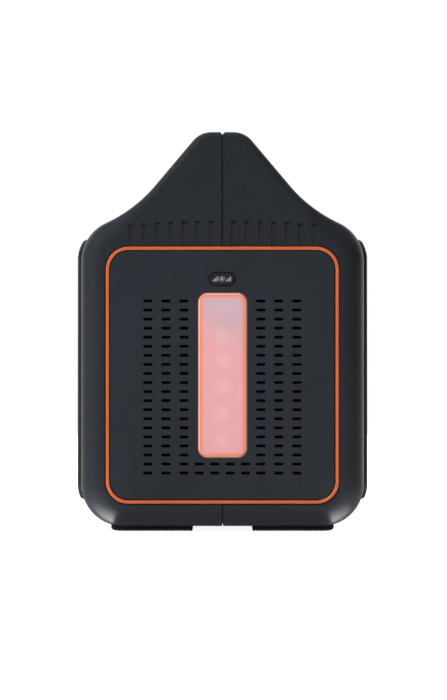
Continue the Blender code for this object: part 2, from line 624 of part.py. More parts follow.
def fan_panel():
    panel = end_panel("fan_end_panel", 1)
    slots, reach = [], FAN_SIZE / 2 - 0.5
    rows = int(reach / GRILLE_PITCH)
    for row in range(-rows, rows + 1):
        half = math.sqrt(reach**2 - (row * GRILLE_PITCH) ** 2) / 2
        for side in (-1, 1):
            slots.append(plate(side * (half + 0.6), END_Z + row * GRILLE_PITCH, half - 0.6, GRILLE_SLOT / 2))
    cut(panel, slab("fan_slots", "Y", slots, (END_Y - 8, END_Y + 3)))
    posts = [circle(x, z, 4.0, 10) for x, z in fan_corners()]
    pins = [circle(x, z, 1.7, 8) for x, z in fan_corners()]
    join(panel, slab("fan_posts", "Y", posts, (FAN_Y + FAN_DEPTH + GAP, END_Y - 2.7)))
    join(panel, slab("fan_pins", "Y", pins, (FAN_Y + 5, END_Y - 5)))
    finish(panel, PANEL_GREY)


def fan_corners():
    reach = FAN_SIZE / 2 - 5
    return [(x, END_Z + z) for x in (-reach, reach) for z in (-reach, reach)]


def fan():
    """A square frame with four struts to a middle hub, and the rotor on its axle."""
    bore = FAN_SIZE / 2 - FAN_WALL
    outlines = [plate(0, END_Z, FAN_SIZE / 2, FAN_SIZE / 2, 5, 3), circle(0, END_Z, bore, 36)]
    outlines += [circle(x, z, 2.1, 8) for x, z in fan_corners()]
    frame = slab("fan_frame", "Y", outlines, (FAN_Y, FAN_Y + FAN_DEPTH), PACK)
    reach = bore + 1
    join(frame, box("strut_across", (-reach, reach), (FAN_Y + 0.01, FAN_Y + 2.5), (END_Z - 1.5, END_Z + 1.5)))
    join(frame, box("strut_up", (-1.5, 1.5), (FAN_Y + 0.02, FAN_Y + 2.49), (END_Z - reach, END_Z + reach)))
    axle = [(0, FAN_Y + 0.03), (FAN_HUB - 1.5, FAN_Y + 0.03), (FAN_HUB - 1.5, FAN_Y + 2.6), (1.5, FAN_Y + 2.6),
            (1.5, FAN_Y + 11), (0, FAN_Y + 11)]
    join(frame, turned("stator", "Y", (0, END_Z), axle, 16))
    finish(frame, BLACK)

    low, high, middle = FAN_Y + 3.2, FAN_Y + FAN_DEPTH - 0.8, FAN_Y + FAN_DEPTH / 2 + 1.1
    hub = [(0, high - 2.2), (1.9, high - 2.2), (1.9, low), (FAN_HUB, low), (FAN_HUB, high - 1),
           (FAN_HUB - 1, high), (0, high)]
    rotor = turned("fan_rotor", "Y", (0, END_Z), hub, 21, PACK, origin=middle)
    join(rotor, *[blade(2 * math.pi * k / BLADES, middle, bore - TIP_GAP) for k in range(BLADES)])
    finish(rotor, BLACK)


def blade(angle, middle, tip):
    """One flat fan blade, standing out from the hub at its pitch."""
    root = FAN_HUB - 0.7
    size = Vector((tip - root, BLADE_CHORD, BLADE_THICK)) * MM
    shape = Matrix.Rotation(BLADE_PITCH, 4, "X") @ Matrix.LocRotScale(None, None, size)
    out = Matrix.Translation(Vector(((root + tip) / 2, 0, 0)) * MM)
    place = frame_of("Y", 0, END_Z, middle) @ Matrix.Rotation(angle, 4, "Z")
    bm = bmesh.new()
    bmesh.ops.create_cube(bm, size=1.0, matrix=place @ out @ shape)
    mesh = bpy.data.meshes.new("blade")
    bm.to_mesh(mesh)
    bm.free()
    return link("blade", mesh, TOOLS)


# ---------------------------------------------------------------- side panels
def side_panel(name, side):
    """A panel that wraps a little round the casing's corners, its long edges thinned."""
    lips = side_line(0.9, PANEL_LOW, PANEL_HIGH, 1)
    outer = [lips[0], *side_line(PANEL_OUT, PANEL_LOW + 1.5, PANEL_HIGH - 1.5), lips[-1]]
    inner = side_line(-PANEL_SEAT + GAP, PANEL_LOW, PANEL_HIGH)
    outline = [Vector((side * p.x, p.y)) for p in [*outer, *reversed(inner)]]
    body = slab(name, "Y", [outline], (-PANEL_Y, PANEL_Y), PACK)
    keep(body, slab(f"{name}_outline", "X", [panel_outline()], (-HALF_DEPTH - 30, HALF_DEPTH + 30)))
    return body


def rear_panel():
    panel = side_panel("rear_panel", -1)
    places = [(i - (REAR_SLOTS - 1) / 2) * REAR_SLOT_PITCH for i in range(REAR_SLOTS)]
    slots = [plate(y, PANEL_HIGH - 31, REAR_SLOT_W / 2, REAR_SLOT_H / 2) for y in places]
    cut(panel, slab("rear_slots", "X", slots, (-FACE_X - 7, -FACE_X + 13)))
    finish(panel, PANEL_GREY)


def board_posts():
    across = (DISPLAY_Y - DISPLAY_W / 2 - 8, DISPLAY_Y + DISPLAY_W / 2 + 10)
    return [(y, z) for y in across for z in (PORT_Z - 7, DISPLAY_Z + DISPLAY_H / 2 + 5)]


def front_panel():
    panel = side_panel("front_panel", 1)
    posts = [circle(y, z, 2.5, 8) for y, z in board_posts()]
    join(panel, slab("board_posts", "X", posts, (BOARD_X + GAP, INNER_X + 0.6)))
    through = (SEAT_X - 9, FACE_X + 7)
    openings = [plate(DISPLAY_Y, DISPLAY_Z, DISPLAY_W / 2, DISPLAY_H / 2, 3, 2)]
    openings += [circle(y, KEY_Z, KEY_R + GAP, 16) for y in KEYS.values()]
    openings += [circle(CAP_Y, z, BARREL_R + GAP, 24) for z in (SOCKET_Z, JUMP_Z)]
    openings += [plate(y, PORT_Z, 7.3, 3.6) for y in USB_A_Y]
    openings += [stadium(USB_C_Y, PORT_Z, 5.0, 2.1, 4), circle(JACK_Y, PORT_Z, 5.3, 16)]
    cut(panel, slab("front_openings", "X", openings, through))
    room, side = KNUCKLE_R + 0.4, KNUCKLE_HALF + GAP
    pockets = [plate(HINGE_Y, z, room, side) for z in (SOCKET_Z, JUMP_Z)]
    cut(panel, slab("hinge_pockets", "X", pockets, (FACE_X - PANEL_OUT + GAP, FACE_X + 7)))
    for z in (SOCKET_Z, JUMP_Z):
        join(panel, *[hinge_lug(z + s * side, z + s * (side + 3)) for s in (-1, 1)])
        cut(panel, rod("pin_hole", "Z", (HINGE_X, HINGE_Y), (z - side - 4, z + side + 4), PIN_R + GAP, 10))
    finish(panel, PANEL_GREY)


def hinge_lug(low, high):
    """One ear beside a cap's knuckle, round over the pin."""
    foot = FACE_X - PANEL_OUT
    outline = [Vector((foot, HINGE_Y - KNUCKLE_R))]
    for k in range(-3, 4):
        angle = k * math.pi / 6
        outline.append(Vector((HINGE_X + KNUCKLE_R * math.cos(angle), HINGE_Y + KNUCKLE_R * math.sin(angle))))
    outline.append(Vector((foot, HINGE_Y + KNUCKLE_R)))
    return slab("hinge_lug", "Z", [outline], (low, high))


def socket_caps():
    """Round snap-in covers that swing sideways on a pin."""
    inner, top, plug = FACE_X + GAP, FACE_X + CAP_TOP, BORE_R - 0.5
    lip, rim = plug - PLUG_WALL, inner - PLUG_DEPTH
    profile = [(0, inner), (lip, inner), (lip, rim), (plug, rim), (plug, inner), (CAP_R, inner), (CAP_R, inner + 0.7),
               (CAP_R - 0.8, inner + 1.7), (CAP_R - 3.4, top - 0.1), (0, top)]
    for name, z in (("socket_cap", SOCKET_Z), ("jump_port_cap", JUMP_Z)):
        cap = settled(turned(f"{name}_disc", "X", (CAP_Y, z), profile, 32), name, PACK)
        across = (CAP_Y + CAP_R - 3, HINGE_Y)
        join(cap, box(f"{name}_arm", (inner, top - 0.35), across, (z - KNUCKLE_HALF, z + KNUCKLE_HALF)))
        reach = KNUCKLE_HALF + 0.01
        join(cap, rod(f"{name}_knuckle", "Z", (HINGE_X, HINGE_Y), (z - reach, z + reach), KNUCKLE_R, 12))
        cut(cap, rod(f"{name}_bore", "Z", (HINGE_X, HINGE_Y), (z - 8, z + 8), PIN_R + GAP, 10))
        finish(cap, BLACK)
        hang(cap, (HINGE_X, HINGE_Y, z))
        reach = KNUCKLE_HALF + 3.2
        finish(rod(f"{name}_pin", "Z", (HINGE_X, HINGE_Y), (z - reach, z + reach), PIN_R, 10, PACK), STEEL)


# ---------------------------------------------------------------- sockets and controls
def barrel_profile(base):
    """The outside of a socket from its base to its mouth, with the flange that bears on the panel."""
    flange, back = BARREL_R + 3, SEAT_X - 2.8
    return [(BARREL_R, base), (BARREL_R, back), (flange, back), (flange, SEAT_X), (BARREL_R, SEAT_X),
            (BARREL_R, FACE_X - 0.1), (BORE_R, FACE_X - 0.1)]


def sockets():
    base, hole = FACE_X - 0.1 - BARREL_LENGTH, 3.5
    profile = [(hole, base), *barrel_profile(base), (BORE_R, base + 4), (hole, base + 4)]
    finish(turned("socket_barrel", "X", (CAP_Y, SOCKET_Z), profile, 24, PACK), STEEL)
    contact = [(0, base - 4.5), (1.5, base - 4.5), (1.5, base + 1), (hole - GAP, base + 1), (hole - GAP, base + 7),
               (2.0, base + 8.2), (0, base + 8.2)]
    finish(turned("socket_contact", "X", (CAP_Y, SOCKET_Z), contact, 12, PACK), BRASS)

    base, floor = FACE_X - 0.1 - JUMP_LENGTH, FACE_X - 4.6
    profile = [(0, base), *barrel_profile(base), (BORE_R, floor), (0, floor)]
    port = turned("jump_port", "X", (CAP_Y, JUMP_Z), profile, 24, PACK)
    cut(port, slab("jump_pocket", "X", [plate(CAP_Y, JUMP_Z, 8.6, 4.6, 1.5, 2)], (base + 5, floor + 1.5)))
    holes = [circle(CAP_Y + side * CONTACT_Y, JUMP_Z, CONTACT_R + GAP, 10) for side in (-1, 1)]
    cut(port, slab("jump_holes", "X", holes, (base - 10, base + 10)))
    finish(port, BLACK)
    pin = [(0, base - 8), (CONTACT_R, base - 8), (CONTACT_R, base + 14), (CONTACT_R - 0.8, base + 15),
           (0, base + 15)]
    for name, side in (("jump_contact_positive", -1), ("jump_contact_negative", 1)):
        finish(turned(name, "X", (CAP_Y + side * CONTACT_Y, JUMP_Z), pin, 10, PACK), BRASS)


def display():
    half_w, half_h = DISPLAY_W / 2, DISPLAY_H / 2
    face = plate(DISPLAY_Y, DISPLAY_Z, half_w - GAP, half_h - GAP, 3 - GAP, 2)
    window = slab("display_window", "X", [face], (SEAT_X - 0.6, FACE_X - 0.1), PACK)
    flange = plate(DISPLAY_Y, DISPLAY_Z, half_w + 2, half_h + 2, 3, 2)
    join(window, slab("window_flange", "X", [flange], (SEAT_X - 2.2, SEAT_X)))
    finish(window, GLASS)
    across, up = (DISPLAY_Y - half_w - 1, DISPLAY_Y + half_w + 1), (DISPLAY_Z - half_h - 1, DISPLAY_Z + half_h + 1)
    finish(box("display_module", (BOARD_X + GAP, SEAT_X - 2.5), across, up, PACK), BLACK)


def control_board():
    (low_y, low_z), (high_y, high_z) = board_posts()[0], board_posts()[-1]
    across, up = (low_y - 6, high_y + 6), (low_z - 5, high_z + 5)
    board = box("control_board", (BOARD_X - BOARD_DEPTH, BOARD_X), across, up, PACK)
    switches = [plate(y, KEY_Z, 3, 3) for y in KEYS.values()]
    chips = [plate(DISPLAY_Y - 10, KEY_Z - 8, 10, 10), plate(DISPLAY_Y + 25, KEY_Z + 23, 7, 7)]
    join(board, slab("switches", "X", switches, (BOARD_X - 0.2, BOARD_X + SWITCH_H)))
    join(board, slab("chips", "X", chips, (BOARD_X - BOARD_DEPTH - 1.6, BOARD_X - BOARD_DEPTH + 0.2)))
    finish(board, BOARD)


def keys():
    """The round push buttons, each held behind the panel by its flange."""
    stem, flange = BOARD_X + SWITCH_H + GAP + PRESS, SEAT_X - 2.3
    profile = [(0, stem), (2.0, stem), (2.0, flange), (KEY_R + 1.3, flange), (KEY_R + 1.3, SEAT_X), (KEY_R, SEAT_X),
               (KEY_R, FACE_X), (KEY_R - 0.5, FACE_X + KEY_OUT), (0, FACE_X + KEY_OUT)]
    for name, y in KEYS.items():
        finish(turned(name, "X", (y, KEY_Z), profile, 16, PACK, origin=SEAT_X), PANEL_GREY)


def ports():
    ends = (BOARD_X + GAP, FACE_X - 0.3)
    for i, y in enumerate(USB_A_Y, 1):
        port = slab(f"usb_a_port_{i}", "X", [plate(y, PORT_Z, 7.0, 3.3)], ends, PACK)
        cut(port, slab("usb_a_inside", "X", [plate(y, PORT_Z, 6.2, 2.6)], (BOARD_X + 2, FACE_X + 7)))
        up = (PORT_Z + 0.4, PORT_Z + 1.9)
        join(port, box("usb_a_tongue", (BOARD_X + 1.5, FACE_X - 1.3), (y - 5.2, y + 5.2), up))
        finish(port, STEEL)
    port = slab("usb_c_port", "X", [stadium(USB_C_Y, PORT_Z, 4.7, 1.8, 4)], ends, PACK)
    cut(port, slab("usb_c_inside", "X", [stadium(USB_C_Y, PORT_Z, 4.3, 1.4, 4)], (BOARD_X + 2, FACE_X + 7)))
    tongue = (USB_C_Y - 3.2, USB_C_Y + 3.2)
    join(port, box("usb_c_tongue", (BOARD_X + 1.5, FACE_X - 1.5), tongue, (PORT_Z - 0.4, PORT_Z + 0.4)))
    finish(port, STEEL)
    jack = [(0, BOARD_X + GAP), (5.0, BOARD_X + GAP), (5.0, FACE_X - 0.2), (3.2, FACE_X - 0.2), (3.2, BOARD_X + 3),
            (1.0, BOARD_X + 3), (1.0, FACE_X - 2.2), (0, FACE_X - 1.8)]
    finish(turned("charge_jack", "X", (JACK_Y, PORT_Z), jack, 16, PACK), BLACK)


# ---------------------------------------------------------------- battery and boards
def cell_x(i):
    return CELL_START + i * CELL_PITCH + CELL_X / 2


def cells():
    end = CELL_Y / 2 + GAP
    section = [(-end - 2, TRAY_Z), (end + 2, TRAY_Z), (end + 2, CELL_TOP), (end, CELL_TOP), (end, TRAY_Z + TRAY),
               (-end, TRAY_Z + TRAY), (-end, CELL_TOP), (-end - 2, CELL_TOP)]
    finish(slab("battery_tray", "X", [[Vector(p) for p in section]], (CELL_START + 4, CELL_END), PACK), BLACK)
    for i in range(CELLS):
        x, half = cell_x(i), CELL_X / 2
        along, up = (-CELL_Y / 2, CELL_Y / 2), (CELL_FLOOR, CELL_TOP)
        cell = box(f"battery_cell_{i + 1}", (x - half, x + half), along, up, PACK)
        soften(cell, 1.0)
        ends = [circle(x, y, TERMINAL_R, 12) for y in (-TERMINAL_Y, TERMINAL_Y)]
        join(cell, slab(f"cell_{i + 1}_terminals", "Z", ends, (CELL_TOP - 1, FRAME_TOP)))
        finish(cell, CELL_BLUE)


def top_frame():
    """The frame that holds the cells down and carries both boards above them."""
    reach = CELL_Y / 2 + GAP + 2
    frame = box("battery_top_frame", (CELL_START, CELL_END), (-reach, reach), (CELL_TOP + GAP, FRAME_TOP), PACK)
    holes = [circle(cell_x(i), y, TERMINAL_R + 1.5, 10) for i in range(CELLS) for y in (-TERMINAL_Y, TERMINAL_Y)]
    cut(frame, slab("terminal_holes", "Z", holes, (CELL_TOP - 5, FRAME_TOP + 5)))
    low = [circle(x, y, 2.2, 8) for x in (CELL_START + 12, CELL_END - 13.5) for y in (-20, 20)]
    sides = ((CELL_START + 3, 50), (CELL_END - 3.5, 30))
    tall = [circle(x, y, 2.0, 8) for x, reach in sides for y in (-reach, reach)]
    join(frame, slab("low_posts", "Z", low, (FRAME_TOP - 1, BATTERY_BOARD_Z - GAP)))
    join(frame, slab("tall_posts", "Z", tall, (FRAME_TOP - 1, POWER_BOARD_Z - GAP)))
    finish(frame, BLACK)


def busbars():
    low = FRAME_TOP + GAP
    for i, side in enumerate((-1, 1, -1)):
        x = (cell_x(i) + cell_x(i + 1)) / 2
        outline = plate(x, side * TERMINAL_Y, CELL_PITCH / 2 + TERMINAL_R, 5, 2, 1)
        finish(slab(f"busbar_{i + 1}", "Z", [outline], (low, low + BUSBAR), PACK), BRASS)


def boards():
    """The battery management board low down, and the power board with its heat sink above it."""
    z = BATTERY_BOARD_Z
    x, y = (CELL_START + 7, CELL_END - 7.5), (-CELL_Y / 2 + 5, TERMINAL_Y - 5)
    board = box("battery_board", x, y, (z, z + BOARD_DEPTH), PACK)
    middle = sum(x) / 2
    pieces = ((-9, -44, 6, 6, 3), (15, -40, 8, 6, 2), (-9, 1, 15, 11, 5), (20, 15, 7, 15, 4))
    for cx, cy, half_x, half_y, height in pieces:
        across, along = (middle + cx - half_x, middle + cx + half_x), (cy - half_y, cy + half_y)
        join(board, box("board_part", across, along, (z + BOARD_DEPTH - 0.2, z + BOARD_DEPTH + height)))
    finish(board, BOARD)

    z = POWER_BOARD_Z
    x, top = (CELL_START - 1, CELL_END + 0.5), POWER_BOARD_Z + BOARD_DEPTH
    board = box("power_board", x, (-CELL_Y / 2 + 5, CELL_Y / 2 - 5), (z, top), PACK)
    cans = [circle(x[0] + 15, y, 6.5, 12) for y in (-45, -28)]
    join(board, slab("capacitors", "Z", cans, (top - 0.2, top + 15.4)))
    join(board, box("transformer", (x[1] - 30, x[1] - 8), (-52, -26), (top - 0.2, top + 14.4)))
    finish(board, BOARD)

    sink = box("heat_sink", (x[0] + 12, x[0] + 72), (-8, 52), (top + GAP, top + 3.4), PACK)
    fins = [plate(x[0] + 12.7 + k * 9.76, 22, 0.75, 29.9) for k in range(7)]
    join(sink, slab("fins", "Z", fins, (top + 2, top + GAP + SINK_H)))
    finish(sink, ALUMINIUM)


def lead(name, path, lug, look):
    """A copper lead, made whole along its path, ending in a flat lug."""
    curve = bpy.data.curves.new(name, "CURVE")
    curve.dimensions, curve.bevel_depth, curve.bevel_resolution = "3D", LEAD_R * MM, 1
    curve.use_fill_caps, curve.resolution_u = True, 2
    line = curve.splines.new("NURBS")
    line.points.add(len(path) - 1)
    for knot, place in zip(line.points, path):
        knot.co = (*(Vector(place) * MM), 1.0)
    line.order_u, line.use_endpoint_u = 3, True
    made = from_curve(curve, Matrix.Identity(4), name, PACK)
    join(made, lug)
    finish(made, look)


def leads():
    """The two leads from the end cells up to the jump lead port."""
    low = FRAME_TOP + GAP
    start, top = FACE_X - 0.1 - JUMP_LENGTH - 8 - GAP, low + LUG + 1.2
    rise = (CELL_END + FACE_X - 0.1 - BARREL_LENGTH) / 2
    y, side = CAP_Y - CONTACT_Y, TERMINAL_Y + 0.5
    first, last = cell_x(0), cell_x(CELLS - 1)
    path = [(start, y, JUMP_Z), (start - 4.7, y, JUMP_Z), (rise + 1.2, y, JUMP_Z + 0.4),
            (rise, side, JUMP_Z + 9.4), (rise, side, top - 27), (rise, side, top - 11),
            (rise - 0.3, side, top - 0.9), (rise - 7, TERMINAL_Y, top), (last + 2.5, TERMINAL_Y, top)]
    lug = box("positive_lug", (last - 5, last + 5.5), (TERMINAL_Y - 4, TERMINAL_Y + 4), (low, low + LUG))
    lead("battery_lead_positive", path, lug, RED)
    y, side = CAP_Y + CONTACT_Y, TERMINAL_Y + 12
    path = [(start, y, JUMP_Z), (start - 4.7, y, JUMP_Z), (rise + 1.2, y, JUMP_Z + 0.4),
            (rise, side - 1.5, JUMP_Z + 9.4), (rise, side, top - 27), (rise, side, top - 11),
            (rise - 0.3, side, top - 0.4), (rise - 9, side, top + 0.3), (last - 15.5, side, top + 0.3),
            (first + 16, side, top + 0.3), (first + 4, side, top + 0.3), (first + 0.5, side - 5, top + 0.1),
            (first + 0.2, TERMINAL_Y + 3, top)]
    lug = box("negative_lug", (first - 5, first + 5.5), (TERMINAL_Y - 4.5, TERMINAL_Y + 6), (low, low + LUG))
    lead("battery_lead_negative", path, lug, BLACK)


casing_halves()
casing_screws()
feet()
trim("light_end_trim", -1)
trim("fan_end_trim", 1)
light_panel()
light_unit()
light_button()
fan_panel()
fan()
rear_panel()
front_panel()
socket_caps()
sockets()
display()
control_board()
keys()
ports()
cells()
top_frame()
busbars()
boards()
leads()
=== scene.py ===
"""Looks of the jump starter pack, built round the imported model: +Z up, the light end at -Y, the front panel at +X.

Shapes are worked out in millimetres and made in metres. Outlines are lists of (u, v) points: (y, z) across X, (x, z)
across Y and (x, y) across Z.
"""

from math import acos, atan2, copysign, cos, degrees, pi, radians, sin, sqrt, tan

import bmesh
import bpy
import numpy as np
from mathutils import Matrix, Vector


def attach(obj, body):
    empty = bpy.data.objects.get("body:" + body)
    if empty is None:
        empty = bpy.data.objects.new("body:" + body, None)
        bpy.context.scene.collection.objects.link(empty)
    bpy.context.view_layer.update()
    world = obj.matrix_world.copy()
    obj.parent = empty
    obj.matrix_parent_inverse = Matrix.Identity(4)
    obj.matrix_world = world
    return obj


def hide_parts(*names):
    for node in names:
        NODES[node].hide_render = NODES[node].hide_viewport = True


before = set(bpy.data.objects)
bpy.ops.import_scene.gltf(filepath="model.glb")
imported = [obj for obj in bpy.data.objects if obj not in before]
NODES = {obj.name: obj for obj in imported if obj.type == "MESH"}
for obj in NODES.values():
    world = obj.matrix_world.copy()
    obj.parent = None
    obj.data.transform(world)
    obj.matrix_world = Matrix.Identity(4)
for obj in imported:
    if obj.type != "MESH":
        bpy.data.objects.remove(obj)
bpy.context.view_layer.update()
MM = 0.001
GAP = 0.3

# ---- sizes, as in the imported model
END_Y, HALF_DEPTH, CASING_BOTTOM, HEIGHT, WALL = 115.0, 71.0, 2.7, 200.3, 3.0
CORNER_R, SHOULDER_Z, SHOULDER_ARC_Z = 21.0, 148.75, 135.63
NECK_X, NECK_Z, NECK_R, TOP_X, TOP_R = 43.2, 162.3, 67.8, 11.1, 12.0
END_R, PILLAR_END_R, END_R_LOW, END_R_HIGH, END_FRAME = 11.0, 3.5, 146, 164, 8.0
DECK_Z, GRIP_HALF, GRIP_Z, PILLAR_Y = 156.6, 17.0, 182.3, 80.0
TROUGH_X, TROUGH_Y, TROUGH_Z = 32.0, 66.0, 150.6
SCREWS = [(s * 101, z) for z in (14.0, 140.0) for s in (-1, 1)] + [(s * 97, 176.8) for s in (-1, 1)]
END_Z, TRIM_X, TRIM_Z, TRIM_R, TRIM_W = 78.5, 58.5, 64.5, 11.5, 2.0
LENS_X, LENS_Z, LENS_R = 12.0, 41.0, 4.4
LED_PITCH = 13.35
LED_LOWEST = 79.2 - 2.5 * LED_PITCH
PANEL_FACE, PANEL_BACK, FAN_PLACE, BLADES, GRILLE_R, GRILLE_PITCH = END_Y - 0.6, 111.7, 100.6, 7, 29.5, 4.6
BUTTON_X, BUTTON_Z, BUTTON_W, BUTTON_H = -0.25, 126.65, 12.9, 6.45
SLOT_W, SLOT_H, SLOT_PITCH, SLOT_TOP, SLOT_ROWS = 4.6, 1.4, 4.53, 115.65, 20
SLOT_X, LOW_SLOT_X, REAR_SLOTS, REAR_SLOT_PITCH = (19.2, 28.2, 37.25), (3.85, 11.55), 15, 8.0
FLUTE_X, FLUTE_W = (5.6, 12.3, 19.0, 25.7, 32.4, 39.1, 45.8), 2.45
PANEL_Y, PANEL_LOW, PANEL_HIGH, PANEL_R, PANEL_OUT, PANEL_SEAT = 95.0, 15.7, 147.0, 9.0, 2.1, 1.5
PANEL_Z, PANEL_HALF = (PANEL_LOW + PANEL_HIGH) / 2, (PANEL_HIGH - PANEL_LOW) / 2
FACE_X = HALF_DEPTH + PANEL_OUT
FOOT_X, FOOT_Y, FOOT_HALF, FOOT_LONG, FOOT_H, RIB_PITCH = 35.5, 87.25, 20.5, 15.75, 3.6, 1.45
CAP_Y, CAP_Z, CAP_TOP, HINGE_X, HINGE_Y, JUMP_PIN_Y = 50.0, (96.6, 53.6), 75.7, 73.6, 66.3, 4.3
DISPLAY_Y, DISPLAY_Z, KEY_Z, KEY_R = -30.0, 104.0, 68.0, 5.5
KEYS = {"power": -57.0, "dc": -39.0, "usb": -21.0, "boost": -3.0}
PORT_Z, USB_A_Y, USB_C_Y, JACK_Y = 40.0, (-57.0, -37.0), -18.0, -2.0
PORT_BACK, PORT_MOUTH, KEY_FLANGE = 60.3, FACE_X - 0.3, (67.2, 69.5)


# ---- outlines
def arc(u, v, radius, turns):
    """Points on a circle at these angles."""
    return np.column_stack((u + radius * np.cos(turns), v + radius * np.sin(turns)))


def rounded(corners, step=4.0):
    """A closed outline from (u, v, radius) corners, each turned into an arc of points that many degrees apart."""
    outline = []
    for i, (u, v, radius) in enumerate(corners):
        here = np.array((u, v), float)
        back = np.array(corners[i - 1][:2]) - here
        ahead = np.array(corners[(i + 1) % len(corners)][:2]) - here
        back, ahead = back / np.hypot(*back), ahead / np.hypot(*ahead)
        if radius <= 0:
            outline.append(here)
            continue
        half = acos(max(-1, min(1, back @ ahead))) / 2
        middle = back + ahead
        centre = here + middle / np.hypot(*middle) * radius / sin(half)
        start, end = here + back * radius / tan(half) - centre, here + ahead * radius / tan(half) - centre
        first = atan2(start[1], start[0])
        sweep = (atan2(end[1], end[0]) - first + pi) % (2 * pi) - pi
        count = max(2, round(abs(degrees(sweep)) / step))
        turns = first + sweep * np.arange(count + 1) / count
        outline += list(arc(*centre, radius, turns))
    outline = np.array(outline)
    return outline[np.linalg.norm(outline - np.roll(outline, 1, 0), axis=1) > 1e-6]


def both(half, u=-1, v=1):
    """Corners with their mirror image, in order round the outline."""
    return half + [(u * a, v * b, radius) for a, b, radius in reversed(half)]


def plate(u, v, half_u, half_v, radius, step=7.5):
    signs = ((1, -1), (1, 1), (-1, 1), (-1, -1))
    return rounded([(u + a * half_u, v + b * half_v, radius) for a, b in signs], step)


def circle(u, v, radius, sides=48):
    return arc(u, v, radius, 2 * pi * np.arange(sides) / sides)


def grown(outline, by):
    """The outline moved outwards by this much, which may be one number for each point."""
    before = outline - np.roll(outline, 1, 0)
    after = np.roll(outline, -1, 0) - outline
    before /= np.linalg.norm(before, axis=1)[:, None]
    after /= np.linalg.norm(after, axis=1)[:, None]
    normal = np.column_stack((before[:, 1] + after[:, 1], -before[:, 0] - after[:, 0]))
    normal /= np.linalg.norm(normal, axis=1)[:, None]
    lean = (normal * np.column_stack((after[:, 1], -after[:, 0]))).sum(1)
    return outline + normal * (by / lean)[:, None]


CASING = both([(HALF_DEPTH, CASING_BOTTOM, CORNER_R), (HALF_DEPTH, SHOULDER_Z, CORNER_R), (NECK_X, NECK_Z, NECK_R),
               (TOP_X, HEIGHT, TOP_R)])


def trim_outline(more):
    return plate(0, END_Z, TRIM_X + more, TRIM_Z + more, TRIM_R + more)


# ---- meshes
TURNS = {"X": (2, 0, 1), "Y": (0, 2, 1), "Z": (0, 1, 2)}  # which of (u, v, w) goes to x, y and z


def lay(axis, outline, w):
    """World points of an outline lying across an axis at w, which may be one number for each point."""
    flat = np.column_stack((outline, np.broadcast_to(w, len(outline))))
    return flat[:, TURNS[axis]]


def linked(name, data):
    """A new object in the scene."""
    obj = bpy.data.objects.new(name, data)
    bpy.context.scene.collection.objects.link(obj)
    return obj


def mesh_of(name, points, faces):
    mesh = bpy.data.meshes.new(name)
    mesh.from_pydata([tuple(p) for p in np.asarray(points, float) * MM], [], faces)
    obj = linked(name, mesh)
    bm = bmesh.new()
    bm.from_mesh(mesh)
    bmesh.ops.remove_doubles(bm, verts=bm.verts, dist=1e-7)
    bmesh.ops.recalc_face_normals(bm, faces=bm.faces)
    bm.to_mesh(mesh)
    bm.free()
    return obj


def skin(rings, closed=False, first=0):
    """Points and faces over a row of rings with the same number of points, with flat ends or closed on itself."""
    count, sides = len(rings), len(rings[0])
    faces = []
    for k in range(count if closed else count - 1):
        low, high = first + k * sides, first + (k + 1) % count * sides
        faces += [(low + i, low + (i + 1) % sides, high + (i + 1) % sides, high + i) for i in range(sides)]
    if not closed:
        faces.append(tuple(range(first, first + sides)))
        faces.append(tuple(range(first + (count - 1) * sides, first + count * sides)))
    return np.vstack(rings), faces


def many(name, axis, bodies, closed=False):
    """Separate bodies in one mesh, each from an outline taken along an axis in (place, growth) steps."""
    points, faces, first = [], [], 0
    for outline, steps in bodies:
        more, sides = skin([lay(axis, grown(outline, by), w) for w, by in steps], closed, first)
        points.append(more)
        faces += sides
        first += len(more)
    return mesh_of(name, np.vstack(points), faces)


def stack(name, axis, outline, steps, closed=False):
    return many(name, axis, [(outline, steps)], closed)


def slab(name, axis, low, high, *outlines):
    """Straight bodies between two places along an axis."""
    return many(name, axis, [(outline, [(low, 0), (high, 0)]) for outline in outlines])


def past(start, *points):
    """(radius, place) points whose places count from a start."""
    return [(radius, start + w) for radius, w in points]


def turned(name, axis, centre, profile, sides=64, closed=False):
    """A turned body from (radius, place) points."""
    rings = [lay(axis, circle(*centre, max(radius, 1e-3), sides), w) for radius, w in profile]
    return mesh_of(name, *skin(rings, closed))


def lip(face, way, radius, depth, steps=4):
    """Steps for a cutter that leaves a rounded edge where it enters a face. way is the direction outwards."""
    turns = [pi / 2 * k / steps for k in range(1, steps + 1)]
    bend = [(face - way * radius * (1 - cos(t)), radius * (1 - sin(t))) for t in turns]
    return [(face + way * 2, radius), (face, radius), *bend, (face - way * depth, 0)]


def round_edge(face, way, radius, steps=4):
    """Steps for a body whose edge is rounded where it meets a face, from its side to the face."""
    turns = [pi / 2 * k / steps for k in range(steps + 1)]
    return [(face - way * radius * (1 - sin(t)), -radius * (1 - cos(t))) for t in turns]


def joined(*objects):
    """One mesh object from several that don't touch."""
    bm = bmesh.new()
    for obj in objects:
        bm.from_mesh(obj.data)
    bm.to_mesh(objects[0].data)
    bm.free()
    for obj in objects[1:]:
        bpy.data.objects.remove(obj, do_unlink=True)
    return objects[0]


def applied(obj):
    """The object with its modifiers applied."""
    mesh = bpy.data.meshes.new_from_object(obj.evaluated_get(bpy.context.evaluated_depsgraph_get()))
    obj.modifiers.clear()
    old, obj.data = obj.data, mesh
    bpy.data.meshes.remove(old)
    return obj


def boolean(target, how, tool):
    """Uses the tool up on the target, as INTERSECT, UNION or DIFFERENCE."""
    step = target.modifiers.new(how, "BOOLEAN")
    step.operation, step.solver, step.object = how, "MANIFOLD", tool
    applied(target)
    bpy.data.objects.remove(tool, do_unlink=True)
    return target


def cut(target, tool):
    """Takes the tool off the target."""
    return boolean(target, "DIFFERENCE", tool)


